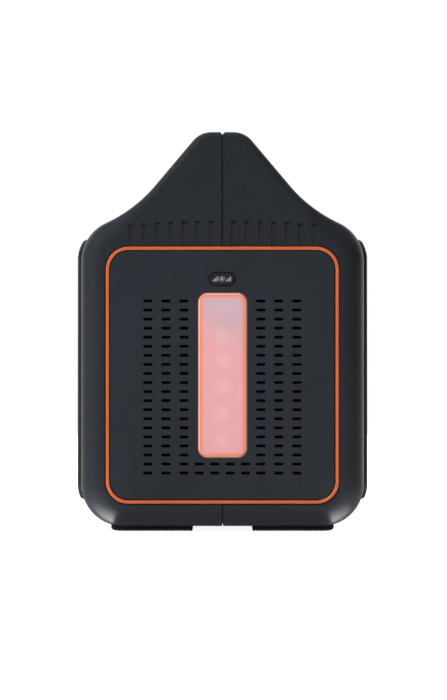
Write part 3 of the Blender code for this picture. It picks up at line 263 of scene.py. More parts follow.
def smooth(obj):
    """Smooth shading that leaves the flat faces flat."""
    obj.data.shade_smooth()
    obj.data.set_sharp_from_angle(angle=radians(32))
    step = obj.modifiers.new("weighted", "WEIGHTED_NORMAL")
    step.weight, step.keep_sharp = 90, True
    return applied(obj)


# ---- casing surface
class Field:
    """Distance to an outline, inside below 0, sampled on a fine grid."""

    PITCH = 0.5

    def __init__(self, outline, low, high):
        self.low = np.array(low, float)
        counts = ((np.array(high) - self.low) / self.PITCH).astype(int) + 1
        axes = [self.low[k] + self.PITCH * np.arange(counts[k]) for k in (0, 1)]
        u, v = (g.ravel() for g in np.meshgrid(*axes, indexing="ij"))
        best, inside = np.full(len(u), np.inf), np.zeros(len(u), bool)
        for a, b in zip(outline, np.roll(outline, -1, 0)):
            edge = b - a
            share = np.clip(((u - a[0]) * edge[0] + (v - a[1]) * edge[1]) / (edge @ edge), 0, 1)
            best = np.minimum(best, (u - a[0] - share * edge[0]) ** 2 + (v - a[1] - share * edge[1]) ** 2)
            if a[1] != b[1]:
                crosses = (a[1] > v) != (b[1] > v)
                inside ^= crosses & (u < a[0] + (v - a[1]) * edge[0] / edge[1])
        self.values = (np.where(inside, -1, 1) * np.sqrt(best)).reshape(counts)

    def __call__(self, u, v):
        top = np.array(self.values.shape) - 1.001
        a = np.clip((u - self.low[0]) / self.PITCH, 0, top[0])
        b = np.clip((v - self.low[1]) / self.PITCH, 0, top[1])
        i, j = a.astype(int), b.astype(int)
        a, b, grid = a - i, b - j, self.values
        low = grid[i, j] * (1 - a) + grid[i + 1, j] * a
        return low * (1 - b) + (grid[i, j + 1] * (1 - a) + grid[i + 1, j + 1] * a) * b


def blend_max(a, b, radius):
    """The greater of two distances, its crease rounded."""
    a, b = a + radius, b + radius
    return np.minimum(np.maximum(a, b), 0) + np.hypot(np.maximum(a, 0), np.maximum(b, 0)) - radius


OPENING = rounded(both([(PILLAR_Y, DECK_Z, 8), (PILLAR_Y, GRIP_Z, 12)]), 2)
GRIP = rounded(both([(GRIP_HALF, 14 - PILLAR_Y, 10), (40, -PILLAR_Y, 7), (95, -PILLAR_Y, 0)], 1, -1), 2)
SIDE, END, UP = -8.0, 124.0, 210.0
outline_field = Field(rounded(CASING, 1.0), (SIDE, -6), (80, UP))
opening_field = Field(OPENING, (SIDE, -6), (END, UP))
grip_field = Field(GRIP, (SIDE, SIDE), (80, END))
trough_field = Field(plate(0, 0, TROUGH_X, TROUGH_Y, 9, 2), (SIDE, SIDE), (80, END))


def casing_field(x, y, z):
    """Distance to the outside of the casing, inside below 0. Only the half with x over -2.5 is there."""
    y = np.abs(y)
    share = np.clip((z - END_R_LOW) / (END_R_HIGH - END_R_LOW), 0, 1)
    end_radius = END_R + (PILLAR_END_R - END_R) * share**2 * (3 - 2 * share)
    form = blend_max(outline_field(np.abs(x), z), y - END_Y, end_radius)
    beside = blend_max(grip_field(np.abs(x), y), DECK_Z - z, 4)
    form = blend_max(form, blend_max(-opening_field(y, z), -beside, 4), 3)
    trough = np.maximum(blend_max(trough_field(np.abs(x), y), TROUGH_Z - z, 4), z - DECK_Z - 12)
    form = blend_max(form, -trough, 1.5)
    return np.maximum(form, -2.5 - x)


def slope(*at):
    """How fast the casing's field grows along x, y and z."""
    found = []
    for step in np.eye(3) * 0.5:
        ahead, behind = (casing_field(*(a + side * b for a, b in zip(at, step))) for side in (1, -1))
        found.append(ahead - behind)
    return np.column_stack(found)


def casing_surface():
    """Points and quads over the outside of the casing's front half."""
    pitch = 1.4
    axes = [np.arange(low, high, pitch) for low, high in ((-3.5, 74), (-118, 118.5), (-1, 203.5))]
    values = casing_field(*np.meshgrid(*axes, indexing="ij", sparse=True))
    inside = values < 0
    shape = np.array(values.shape) - 1
    total, crossed = np.zeros((*shape, 3)), np.zeros(shape, int)
    corners = [(i, j, k) for i in (0, 1) for j in (0, 1) for k in (0, 1)]
    for a in corners:
        for axis in range(3):
            if a[axis]:
                continue
            b = list(a)
            b[axis] = 1
            va, vb = (values[tuple(slice(k, k + n) for k, n in zip(c, shape))] for c in (a, b))
            cross = (va < 0) != (vb < 0)
            share = np.where(cross, va / np.where(cross, va - vb, 1), 0)
            for k in range(3):
                total[..., k] += np.where(cross, a[k] + (share if k == axis else 0), 0)
            crossed += cross
    used = crossed > 0
    index = np.full(shape, -1)
    index[used] = np.arange(used.sum())
    where = np.argwhere(used)
    points = np.array([a[0] for a in axes]) + pitch * (where + total[used] / crossed[used][:, None])
    faces = []
    for axis in range(3):
        u, v = (axis + 1) % 3, (axis + 2) % 3
        low = [slice(1, s) for s in shape]
        high = list(low)
        low[axis], high[axis] = slice(0, shape[axis]), slice(1, shape[axis] + 1)
        a, b = inside[tuple(low)], inside[tuple(high)]
        start = np.argwhere(a != b)
        start[:, [u, v]] += 1
        out = a[a != b]
        step_u, step_v = np.eye(3, dtype=int)[[u, v]]
        backs = 0, step_u, step_u + step_v, step_v
        quad = np.column_stack([index[tuple(np.transpose(start - back))] for back in backs])
        faces.append(np.where(out[:, None], quad, quad[:, ::-1]))
    faces = np.vstack(faces)
    for _ in range(3):
        points = relaxed(points, faces)
        for _ in range(3):
            s = slope(*points.T)
            points -= s * (casing_field(*points.T) / np.maximum((s**2).sum(1), 0.25))[:, None]
    return points, faces


def relaxed(points, faces):
    """Each point moved half way to the middle of its neighbours, along the surface."""
    ends = np.vstack([faces[:, [i, (i + 1) % 4]] for i in range(4)])
    total, count = np.zeros_like(points), np.bincount(ends[:, 0], minlength=len(points))
    for k in range(3):
        total[:, k] = np.bincount(ends[:, 0], weights=points[ends[:, 1], k], minlength=len(points))
    move = total / np.maximum(count, 1)[:, None] - points
    normal = slope(*points.T)
    normal /= np.maximum(np.linalg.norm(normal, axis=1), 1e-9)[:, None]
    return points + 0.5 * (move - normal * (move * normal).sum(1)[:, None])


def read(items, key, kind, width=1):
    """One property of every item, a row each."""
    values = np.empty(len(items) * width, kind)
    items.foreach_get(key, values)
    return values.reshape(-1, width) if width > 1 else values


def casing_normals(obj):
    """Smooth normals from the casing surface, where a face still lies on it."""
    mesh = smooth(obj).data
    normals = read(mesh.corner_normals, "vector", np.float32, 3)
    vertex = read(mesh.loops, "vertex_index", np.int32)
    points = read(mesh.vertices, "co", np.float32, 3).astype(float) / MM
    own = read(mesh.polygons, "normal", np.float32, 3)
    own = np.repeat(own, read(mesh.polygons, "loop_total", np.int32), axis=0)
    flip = np.array([1.0 if points[:, 0].max() > 10 else -1.0, 1, 1])
    at = points * flip
    true = slope(*at.T)
    true = true / np.maximum(np.linalg.norm(true, axis=1), 1e-9)[:, None] * flip
    on = (np.abs(casing_field(*at.T)) < 0.05)[vertex] & ((true[vertex] * own).sum(1) > 0.9)
    normals = np.where(on[:, None], true[vertex], normals)
    mesh.normals_split_custom_set(normals.tolist())
    return obj


# ---- casing
def side_outline():
    """The casing seen from its side, as (y, z)."""
    return rounded(both([(END_Y, CASING_BOTTOM, END_R), (END_Y, HEIGHT, PILLAR_END_R)]), 6)


def seam_side():
    """What one half may fill: the pack's side outline from the parting plane outwards, its first edge chamfered."""
    outline = side_outline()
    bite = np.where(outline[:, 1] > HEIGHT - 1, 1.0, 0.3)
    rings = [lay("X", grown(outline, -bite), 0.15), lay("X", grown(outline, 0.4), 0.15 + bite + 0.4)]
    return mesh_of("seam_side", *skin(rings + [lay("X", grown(outline, 0.4), 90)]))


def hollow():
    """The space inside the casing's walls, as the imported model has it."""
    section = grown(rounded(CASING, 12), -WALL)
    inside = slab("hollow", "Y", END_FRAME - END_Y, END_Y - END_FRAME, section)
    pillars = slab("pillars", "Y", 4 - END_Y, END_Y - 4, grown(section, -3.5))
    boolean(pillars, "INTERSECT", slab("upper", "Z", 151, 210, plate(0, 0, 80, 120, 0)))
    boolean(inside, "UNION", pillars)
    cut(inside, slab("opening", "X", -95, 95, grown(OPENING[::4], WALL)))
    end = -PILLAR_Y - WALL
    grip = both([(GRIP_HALF - WALL, 11 - PILLAR_Y, 10), (40 - WALL, end, 0), (95, end, 0)], 1, -1)
    cut(inside, slab("beside", "Z", DECK_Z - WALL, 220, rounded(grip, 12)))
    trough = plate(0, 0, TROUGH_X + WALL, TROUGH_Y + WALL, 12, 15)
    return cut(inside, slab("trough", "Z", TROUGH_Z - WALL, DECK_Z + 1, trough))


def end_cutter(side):
    """The opening at one end, its lip rounded, with the groove that holds the panel."""
    face = side * END_Y
    steps = lip(face, side, 0.45, 3.0)
    steps += [(face - side * w, by) for w, by in ((3.0, 2.95), (5.8, 2.95), (5.8, 0), (13, 0))]
    return trim_outline(GAP), steps


def flutes():
    """The short flutes over each end panel: flat, deepest at the top and running out at the trim ring."""
    bodies, half = [], FLUTE_W / 2
    low = END_Z + TRIM_Z + 1.2
    for side in (-1, 1):
        for x in FLUTE_X:
            top = low + 11.5 - 1.8 * (x / FLUTE_X[-1]) ** 2
            outline = [(-1, low), (0.3, low), (0.35, top - 1.6), (0.9, top - 0.7), (0.9, top), (-1, top + 0.3)]
            outline = np.array([(side * END_Y - side * depth, z) for depth, z in outline])
            bodies.append((outline, [(x - half, 0), (x + half, 0)]))
    return bodies


def side_x(z, offset):
    """How far out the casing's side lies at a height, moved out by offset."""
    z = np.asarray(z, float)
    rise = np.maximum(CASING_BOTTOM + CORNER_R - z, 0) + np.maximum(z - SHOULDER_ARC_Z, 0)
    return HALF_DEPTH - CORNER_R + np.sqrt((CORNER_R + offset) ** 2 - rise**2)


def over_side(name, side, outline, levels):
    """A body that follows the casing's side: rings of a (y, z) outline at (growth, offset) levels, its middle flat."""
    rings = []
    for by, offset in levels:
        ring = grown(outline, by)
        rings.append(np.column_stack((side * side_x(ring[:, 1], offset), ring)))
    for first, k in ((True, 0), (False, -1)):
        flat = grown(outline, levels[k][0])
        flat[:, 1] = np.clip(flat[:, 1], CASING_BOTTOM + CORNER_R, SHOULDER_ARC_Z)
        ring = np.column_stack((side * side_x(flat[:, 1], levels[k][1]), flat))
        rings = [ring, *rings] if first else [*rings, ring]
    return mesh_of(name, *skin(rings))


FILL = (8.5, 6.5, 4.5, 3.0, 1.8)  # rings between a side panel's edge and its flat middle


def seat_cutter():
    """What is taken off the casing's side for a panel, with the window behind it."""
    outline = plate(0, PANEL_Z, PANEL_Y + GAP, PANEL_HALF + GAP, PANEL_R + GAP)
    levels = [(-d, 12) for d in FILL] + [(0.3, 12), (0.3, 0.05), (0.1, -0.12), (0, -0.4), (0, -PANEL_SEAT)]
    body = over_side("seat", 1, outline, levels + [(-d, -PANEL_SEAT) for d in reversed(FILL)])
    return boolean(body, "UNION", slab("window", "X", HALF_DEPTH - 16, HALF_DEPTH + 2, plate(0, 79, 84, 53, 6, 15)))


def seam_tongue(more):
    """The strip that stands up from the front half's wall into the rear one, along the parting line."""
    half, deep = 1.4 + more, 2.0 + more

    def strip(name, outline, near, far):
        steps = [(-half, near), (half, near), (half, far), (-half, far)]
        return stack(name, "X", outline, steps, closed=True)

    outer = strip("tongue", side_outline(), more - 1.2, -deep)
    for side in (-1, 1):
        cut(outer, slab("end", "X", -3, 3, plate(side * (END_Y - 3), END_Z, 9, TRIM_Z + 1.3, 0)))
    inner = [(PILLAR_Y, GRIP_Z, 12), (-PILLAR_Y, GRIP_Z, 12), (-PILLAR_Y, DECK_Z, 8), (-TROUGH_Y, DECK_Z, 2),
             (-TROUGH_Y, TROUGH_Z, 4), (TROUGH_Y, TROUGH_Z, 4), (TROUGH_Y, DECK_Z, 2), (PILLAR_Y, DECK_Z, 8)]
    return boolean(outer, "UNION", strip("inner", rounded(inner, 12), 1.2 - more, deep))


def casing_body():
    """The front half of the casing."""
    points, faces = casing_surface()
    body = mesh_of("casing_front_shell", points, [tuple(f) for f in faces])
    boolean(body, "INTERSECT", seam_side())
    cut(body, hollow())
    cut(body, many("end_openings", "Y", [end_cutter(-1), end_cutter(1)]))
    cut(body, many("flutes", "X", flutes()))
    holes = [plate(FOOT_X, side * FOOT_Y, FOOT_HALF + GAP, FOOT_LONG + GAP, 3) for side in (-1, 1)]
    cut(body, slab("foot_holes", "Z", -1, FOOT_H + GAP, *holes))
    return cut(body, seat_cutter())


def outside_x(z):
    """How far out the casing lies at this height, on its side or on the handle's flank."""
    flank = NECK_X - (z - NECK_Z) * (NECK_X - TOP_X) / (HEIGHT - NECK_Z)
    return float(side_x(z, 0)) if z < SHOULDER_Z else flank


def casing_pieces():
    """The two casing halves, the rear one a mirror image with bores and posts for its screws."""
    front = casing_body()
    rear = linked("casing_rear_shell", front.data.copy())
    rear.data.transform(Matrix.Diagonal((-1, 1, 1, 1)))
    rear.data.flip_normals()
    cut(rear, slab("screw_bores", "X", -80, -18, *[circle(y, z, 4.2, 40) for y, z in SCREWS]))
    cut(rear, seam_tongue(0.15))
    boolean(front, "UNION", seam_tongue(0))
    for obj, node in ((front, "front_casing"), (rear, "rear_casing")):
        piece(casing_normals(obj), "casing", node)
    posts = []
    for i, (y, z) in enumerate(SCREWS, 1):
        end = 1.2 - min(outside_x(z - 5.5), outside_x(z + 5.5))
        profile = [(5.5, -14), (5.5, end), (4.25, end), (4.25, -14)]
        posts.append(turned(f"screw_post_{i}", "X", (y, z), profile, 40, closed=True))
    solid(joined(*posts), "casing")


# ---- ends
def trim_ring(name, side):
    front, back = side * (END_Y - 0.3), side * (END_Y - 2.7)
    outer = round_edge(front, side, 0.5)
    inner = [(w, -TRIM_W - by + 0.2) for w, by in reversed(outer)]
    steps = [(back, 0), *outer, *inner, (back, 0.2 - TRIM_W)]
    solid(stack(name, "Y", trim_outline(-0.1), steps, closed=True), "orange", name.replace("ring", "trim"))


def end_panel(name, side, openings):
    """The plate inside a trim ring, with a flange in the casing's groove."""
    steps = round_edge(side * PANEL_FACE, side, 0.5)[::-1]
    flange = (PANEL_BACK, 0), (PANEL_BACK, 5.25), (109.5, 5.25), (109.5, -2.5), (112.0, -2.5)
    panel = stack(name, "Y", trim_outline(-TRIM_W - GAP), steps + [(side * w, by) for w, by in flange])
    cut(panel, many("openings", "Y", openings))
    solid(panel, "panel", name.replace("plate", "panel"))


def stadium(u, v, half_u, half_v, step=15):
    return plate(u, v, half_u, half_v, half_v - 0.01, step)


def light_end():
    face = -PANEL_FACE
    heights = [SLOT_TOP - row * SLOT_PITCH for row in range(SLOT_ROWS)]
    places = [(x * s, z) for x in SLOT_X for s in (-1, 1) for z in heights]
    places += [(x * s, z) for x in LOW_SLOT_X for s in (-1, 1) for z in heights[-2:]]
    openings = [(stadium(x, z, SLOT_W / 2, SLOT_H / 2), lip(face, -1, 0.28, 6, 3)) for x, z in places]
    openings.append((plate(0, END_Z, LENS_X + GAP, LENS_Z + GAP, LENS_R + GAP), lip(face, -1, 0.35, 6)))
    button = stadium(BUTTON_X, BUTTON_Z, BUTTON_W / 2 + GAP, BUTTON_H / 2 + GAP, 7.5)
    openings.append((button, lip(face, -1, 0.2, 6)))
    end_panel("light_end_plate", -1, openings)

    steps = round_edge(0.4 - END_Y, -1, 0.9, 6)[::-1] + [(-PANEL_BACK, 0), (-PANEL_BACK, 1.5), (-110.2, 1.5)]
    solid(stack("light_bar", "Y", plate(0, END_Z, LENS_X, LENS_Z, LENS_R), steps), "lens", "light_lens")

    steps = round_edge(0.1 - END_Y, -1, 0.55)[::-1] + [(-PANEL_BACK, 0), (-PANEL_BACK, 1.3), (-109.9, 1.3)]
    key = stack("light_key", "Y", stadium(BUTTON_X, BUTTON_Z, BUTTON_W / 2, BUTTON_H / 2, 7.5), steps)
    solid(key, "button", "light_button", body="light_button_body")
    mark = slab("light_key_mark", "Y", 0.12 - END_Y, 0.08 - END_Y, *lamp_sign())
    piece(mark, "print", body="light_button_body")

    # A black sheet behind the slots, open round the light bar: painted shade that keeps the slots dark.
    shade_sheet = slab("slot_shade_sheet", "Y", -107, -104.4, plate(0, 73, 45, 50, 4))
    cut(shade_sheet, slab("window", "Y", -108, -103.4, plate(0, END_Z, 15.4, 43.4, 3)))
    solid(shade_sheet, "black")


def bar(u, v, half_u, half_v, turn=0.0):
    """A rounded stroke about (u, v), turned by this many degrees."""
    flat = plate(0, 0, half_u, half_v, min(half_u, half_v) * 0.9, 30)
    c, s = cos(radians(turn)), sin(radians(turn))
    return flat @ np.array([[c, s], [-s, c]]) + (u, v)


def lamp_sign():
    """A lamp with its rays, between level marks."""
    strokes = [circle(BUTTON_X, BUTTON_Z, 0.8, 20)]
    for k in range(8):
        c, s = cos(k * pi / 4), sin(k * pi / 4)
        strokes.append(bar(BUTTON_X + 1.4 * c, BUTTON_Z + 1.4 * s, 0.3, 0.2, k * 45))
    for side in (-1, 1):
        for k, half in enumerate((0.5, 0.9, 1.3)):
            x = BUTTON_X + side * (2.3 + k * 0.95 if side > 0 else 4.2 - k * 0.95)
            strokes.append(bar(x, BUTTON_Z - 1.3 + half, 0.34, half))
    return strokes


def fan_end():
    openings = []
    for row in range(-6, 7):
        half = sqrt(GRILLE_R**2 - (row * GRILLE_PITCH) ** 2) / 2
        for side in (-1, 1):
            slot = stadium(side * (half + 0.6), END_Z + row * GRILLE_PITCH, half - 0.6, 1.3, 10)
            openings.append((slot, lip(PANEL_FACE, 1, 0.25, 6, 3)))
    end_panel("fan_end_plate", 1, openings)

    hub = [(0, 106.2), (11.0, 106.2), (12.0, 105.9), (12.5, 105.2), (12.5, 95.2), (1.9, 95.2), (1.9, 104), (0, 104)]
    blades = [blade(f"fan_blade_{k}", 2 * pi * k / BLADES) for k in range(BLADES)]
    wheel = joined(turned("fan_wheel", "Y", (0, END_Z), hub), *blades)
    solid(wheel, "black", "fan_rotor", body="fan_rotor_body")


def blade(name, turn):
    """A swept, twisted fan blade."""
    rings, sections = [], 7
    for k in range(sections + 1):
        share = k / sections
        radius = 12.0 + 15.0 * share
        chord, pitch = 5.6 + 0.8 * share, radians(44 - 12 * share)
        ring = []
        for step in range(16):
            a = 2 * pi * step / 16
            u, v = chord * cos(a), (0.65 - 0.25 * share) * sin(a) + 0.5 * cos(a) ** 2
            across, along = u * cos(pitch) - v * sin(pitch), u * sin(pitch) + v * cos(pitch)
            angle = turn + 0.22 * share**2 + across / radius
            ring.append((radius * cos(angle), FAN_PLACE + along, END_Z + radius * sin(angle)))
        rings.append(np.array(ring))
    return mesh_of(name, *skin(rings))


# What is off each foot's outer end, where it curves up from the floor, as (outwards, z) from its lower corner.
FOOT_RISE = [(-6.5, -0.5), (1, -0.5), (1, 2.3), (0, 1.7), (-0.4, 1.2), (-1, 0.85), (-1.8, 0.55), (-3, 0.28),
             (-4.5, 0.1), (-6.5, -0.02)]
FOOT_GROOVE = [(-0.42, -0.5), (0.42, -0.5), (0.36, 0.25), (0.16, 0.55), (-0.16, 0.55), (-0.36, 0.25)]


def feet():
    for front, x in (("front", FOOT_X), ("rear", -FOOT_X)):
        for end, y in (("light", -FOOT_Y), ("fan", FOOT_Y)):
            steps = round_edge(0, -1, 0.9)[::-1] + [(FOOT_H, 0)]
            foot = stack(f"foot_pad_{front}_{end}", "Z", plate(x, y, FOOT_HALF, FOOT_LONG, 2.5), steps)
            grooves = [np.array(FOOT_GROOVE) + (x + k * RIB_PITCH, 0) for k in range(-13, 14)]
            cut(foot, slab("ribs", "Y", y - 17, y + 17, *grooves))
            rise = np.array(FOOT_RISE) * (copysign(1, x), 1) + (x + copysign(FOOT_HALF, x), 0)
            cut(foot, slab("rise", "Y", y - 17, y + 17, rise))
            solid(foot, "rubber", f"foot_{front}_{end}")


# ---- side panels
def side_plate(name, side, openings, cuts=()):
    """A panel that follows the casing's side, all its edges rounded. Openings are (outline, lip radius)."""
    edge = [(by, 0.9 + w) for w, by in round_edge(1.2, 1, 1.2, 5)]
    levels = [(-d, GAP - PANEL_SEAT) for d in (*FILL, 0)] + edge + [(-d, PANEL_OUT) for d in reversed(FILL)]
    panel = over_side(name, side, plate(0, PANEL_Z, PANEL_Y, PANEL_HALF, PANEL_R), levels)
    cut(panel, many("openings", "X", [(o, lip(side * FACE_X, side, r, 7)) for o, r in openings]))
    if cuts:
        cut(panel, many("cuts", "X", cuts))
    return panel


def rear_side():
    places = [(i - REAR_SLOTS // 2) * REAR_SLOT_PITCH for i in range(REAR_SLOTS)]
    slots = [(plate(y, PANEL_HIGH - 31, 1.6, 11, 1.55, 15), 0.35) for y in places]
    solid(side_plate("rear_plate", -1, slots), "side", "rear_panel")


def front_side():
    openings = [(plate(DISPLAY_Y, DISPLAY_Z, 30, 17, 3), 0.4)]
    openings += [(circle(y, KEY_Z, KEY_R + GAP), 0.35) for y in KEYS.values()]
    openings += [(circle(CAP_Y, z, 12.8, 72), 0.4) for z in CAP_Z]
    openings += [(plate(y, PORT_Z, 7.3, 3.6, 0.6), 0.3) for y in USB_A_Y]
    openings += [(stadium(USB_C_Y, PORT_Z, 5.0, 2.1), 0.3), (circle(JACK_Y, PORT_Z, 5.3), 0.3)]
    pocket = [(FACE_X - PANEL_OUT + GAP, 0), (FACE_X + 2, 0)]
    panel = side_plate("front_plate", 1, openings, [(plate(HINGE_Y, z, 2.3, 4.3, 0.4), pocket) for z in CAP_Z])
    lugs = []
    for z in CAP_Z:
        for low in (z - 7.3, z + 4.3):
            bend = arc(HINGE_X, HINGE_Y, 1.9, np.linspace(-1.57, 1.57, 17))
            outline = np.array([(FACE_X - 1.5, HINGE_Y - 1.9), *bend, (FACE_X - 1.5, HINGE_Y + 1.9)])
            lugs.append((outline, [(low, -0.25), (low + 0.25, 0), (low + 2.75, 0), (low + 3, -0.25)]))
    boolean(panel, "UNION", many("hinge_lugs", "Z", lugs))
    solid(panel, "side", "front_panel")


def caps():
    """Round covers with a shallow ring and a fingernail notch, each with its arm, knuckle and pin."""
    top, base = CAP_TOP, FACE_X + GAP
    plug = past(base, (0, 0), (8.4, 0), (8.4, -3), (9.8, -3), (10.0, -2.8), (10.0, -0.2), (10.2, 0), (14.4, 0))
    dome = past(base, (14.5, 0.1), (14.5, 0.75), (14.35, 1.05), (14.0, 1.25), (11.9, 1.72), (11.6, 1.72), (11.4, 1.62),
                (11.1, 1.62), (10.9, 1.8))
    dome += past(top, (8.0, -0.16), (5.0, -0.05), (2.0, -0.01), (0, 0))
    hinge = HINGE_X, HINGE_Y
    for name, z in zip(("socket", "jump_port"), CAP_Z):
        cap = turned(f"{name}_cover", "X", (CAP_Y, z), plug + dome, 96)
        notch = plate(CAP_Y - 14.6, z, 1.1, 3.4, 1.0, 15)
        cut(cap, stack("notch", "X", notch, [(base - 0.5, 0), (base + 0.9, 0), (base + 1.6, 0.6)]))
        arm = plate((CAP_Y + 11.5 + HINGE_Y) / 2, z, (HINGE_Y - CAP_Y - 11.5) / 2, 4.0, 0.3)
        boolean(cap, "UNION", stack("arm", "X", arm, [(base + 0.02, 0), (top - 0.65, 0), (top - 0.45, -0.25)]))
        knuckle = past(z, (0, -4.01), (1.65, -4.01), (1.9, -3.76), (1.9, 3.76), (1.65, 4.01), (0, 4.01))
        boolean(cap, "UNION", turned("knuckle", "Z", hinge, knuckle, 40))
        cut(cap, turned("bore", "Z", hinge, past(z, (1.1, -8), (1.1, 8)), 32))
        solid(cap, "cap", f"{name}_cap", body=f"{name}_cap_body")
        pin = past(z, (0, -7.2), (0.65, -7.2), (0.8, -7.05), (0.8, 7.05), (0.65, 7.2), (0, 7.2))
        solid(turned(f"{name}_hinge_pin", "Z", hinge, pin, 32), "steel", f"{name}_cap_pin")


def sockets():
    mouth, flange = FACE_X - 0.1, [(12.5, 66.7), (15.5, 66.7), (15.5, 69.5), (12.5, 69.5)]
    base = FACE_X - 40.1
    shell = [(3.5, base), (12.5, base), *flange]
    shell += past(mouth, (12.5, -0.5), (12.3, -0.15), (11.9, 0), (11.0, 0), (10.65, -0.15), (10.5, -0.5))
    shell += [(10.5, 52), (10.8, 51.6), (10.8, 50.6), (10.5, 50.2), (10.5, base + 4), (3.5, base + 4)]
    barrel = turned("socket_sleeve", "X", (CAP_Y, CAP_Z[0]), shell, 96, closed=True)
    solid(barrel, "steel", "socket_barrel")
    tip = past(base, (0, -4.5), (1.5, -4.5), (1.5, 1), (3.2, 1), (3.2, 6.6), (3.0, 7.2), (2.0, 8.0), (1.0, 8.2),
               (0, 8.2))
    solid(turned("socket_tip", "X", (CAP_Y, CAP_Z[0]), tip, 48), "brass", "socket_contact")

    base, floor_x = FACE_X - 23.1, FACE_X - 4.6
    body = [(0, base), (12.5, base), *flange, *past(mouth, (12.5, -0.4), (12.2, 0), (11.0, 0), (10.6, -0.4))]
    body += past(floor_x, (10.5, 0.4), (10.1, 0), (0, 0))
    port = turned("jump_socket", "X", (CAP_Y, CAP_Z[1]), body, 96)
    pocket = plate(CAP_Y, CAP_Z[1], 8.6, 4.6, 1.5)
    cut(port, many("jump_pocket", "X", [(pocket, lip(floor_x, 1, 0.35, floor_x - base - 5)[::-1])]))
    holes = [circle(CAP_Y + side * JUMP_PIN_Y, CAP_Z[1], 2.9, 32) for side in (-1, 1)]
    cut(port, slab("jump_holes", "X", base - 10, base + 10, *holes))
    cut(port, slab("keyway", "X", base + 8, floor_x + 1, plate(CAP_Y, CAP_Z[1] + 4.9, 1.6, 0.9, 0.3)))
    solid(port, "black", "jump_port")
    pin = past(base, (0, -8), (2.6, -8), (2.6, 13.6), (2.45, 14.3), (2.0, 14.8), (1.2, 15), (0, 15))
    for name, side in (("positive", -1), ("negative", 1)):
        rod = turned(f"jump_pin_{name}", "X", (CAP_Y + side * JUMP_PIN_Y, CAP_Z[1]), pin, 40)
        solid(rod, "brass", f"jump_contact_{name}")


def power_sign(y, z):
    """A ring open at the top with a stroke in the gap."""
    turns = np.radians(np.linspace(125, 415, 30))
    ring = np.vstack((arc(y, z, 1.75, turns), arc(y, z, 1.3, turns)[::-1]))
    return [ring, bar(y, z + 1.3, 0.22, 1.0)]


def dc_sign(y, z):
    """The usual mark for direct current: a long stroke over three short ones."""
    return [bar(y, z + 0.5, 1.8, 0.22), *[bar(y + k * 1.3, z - 0.5, 0.42, 0.22) for k in (-1, 0, 1)]]


def plug_sign(y, z):
    """A plug on its cable."""
    return [plate(y, z - 0.1, 1.15, 0.95, 0.4, 30), bar(y - 0.6, z + 1.3, 0.2, 0.5), bar(y + 0.6, z + 1.3, 0.2, 0.5),
            bar(y, z - 1.55, 0.2, 0.6)]


def bolt_sign(y, z):
    """A lightning stroke."""
    points = [(0.35, 2.0), (-1.2, -0.3), (-0.15, -0.3), (-0.5, -2.0), (1.15, 0.45), (0.1, 0.45)]
    return [np.array(points) + (y, z)]


SIGNS = {"power": power_sign, "dc": dc_sign, "usb": plug_sign, "boost": bolt_sign}


def front_controls():
    steps = [(66.9, 0), (FACE_X - 0.45, 0), (FACE_X - 0.2, -0.12), (FACE_X - 0.1, -0.4)]
    window = stack("display_glass", "X", plate(DISPLAY_Y, DISPLAY_Z, 29.7, 16.7, 2.7), steps)
    solid(window, "glass", "display_window")
    marks = battery_sign(DISPLAY_Y, DISPLAY_Z)
    piece(slab("display_marks", "X", FACE_X - 0.11, FACE_X - 0.08, *marks), "lit")

    low, high = KEY_FLANGE
    stem = [(0, 64.1), (2.0, 64.1), (2.0, low), (6.8, low), (6.8, high), (KEY_R, high), (KEY_R, FACE_X - 0.05)]
    stem += [(KEY_R - 0.5 * (1 - cos(a)), FACE_X - 0.05 + 0.5 * sin(a)) for a in np.linspace(0.3, 1.5, 5)]
    stem += past(FACE_X, (3.6, 0.42), (2.6, 0.36), (0, 0.34))
    for name, y in KEYS.items():
        key = turned(f"{name}_key", "X", (y, KEY_Z), stem, 64)
        solid(key, "button", f"{name}_button", body=f"{name}_button_body")
        marks = slab(f"{name}_key_mark", "X", FACE_X + 0.33, FACE_X + 0.4, *SIGNS[name](y, KEY_Z))
        piece(marks, "print", body=f"{name}_button_body")

    for i, y in enumerate(USB_A_Y, 1):
        port_shell(f"usb_a_shell_{i}", plate(y, PORT_Z, 7.0, 3.3, 0.9), 0.15, 0.8, f"usb_a_port_{i}")
        tongue = plate(y, PORT_Z + 1.15, 5.2, 0.75, 0.15)
        solid(stack(f"usb_a_tongue_{i}", "X", tongue, [(62, 0), (71.6, 0), (71.8, -0.15)]), "tongue")
        pads = [plate(y + k * 2.4, PORT_Z + 0.385, 0.6, 0.04, 0) for k in (-1.5, -0.5, 0.5, 1.5)]
        piece(slab(f"usb_a_pads_{i}", "X", 63, 71.2, *pads), "brass")
    port_shell("usb_c_shell", stadium(USB_C_Y, PORT_Z, 4.7, 1.8, 7.5), 0.1, 0.4, "usb_c_port")
    tongue = plate(USB_C_Y, PORT_Z, 3.2, 0.35, 0.15)
    solid(stack("usb_c_tongue", "X", tongue, [(62, 0), (71.4, 0), (71.6, -0.12)]), "black")
    jack = [(0, PORT_BACK), (5.0, PORT_BACK), *past(FACE_X, (5.0, -0.5), (4.8, -0.2), (3.5, -0.2), (3.2, -0.5)),
            (3.2, 63), (0, 63)]
    solid(turned("charge_socket", "X", (JACK_Y, PORT_Z), jack, 64), "black", "charge_jack")
    pin = [(0, 62.5), (1.0, 62.5), (1.0, 70.6), (0.7, 71.1), (0, 71.3)]
    solid(turned("charge_pin", "X", (JACK_Y, PORT_Z), pin, 32), "steel")


def port_shell(name, outline, edge, wall, node):
    """A port's bright shell, its mouth's edges cut back a little."""
    levels = [(PORT_BACK, 0), (PORT_MOUTH - edge, 0), (PORT_MOUTH, -edge), (PORT_MOUTH, edge - wall),
              (PORT_MOUTH - edge, -wall), (PORT_BACK + 2, -wall)]
    solid(stack(name, "X", outline, levels), "steel", node)


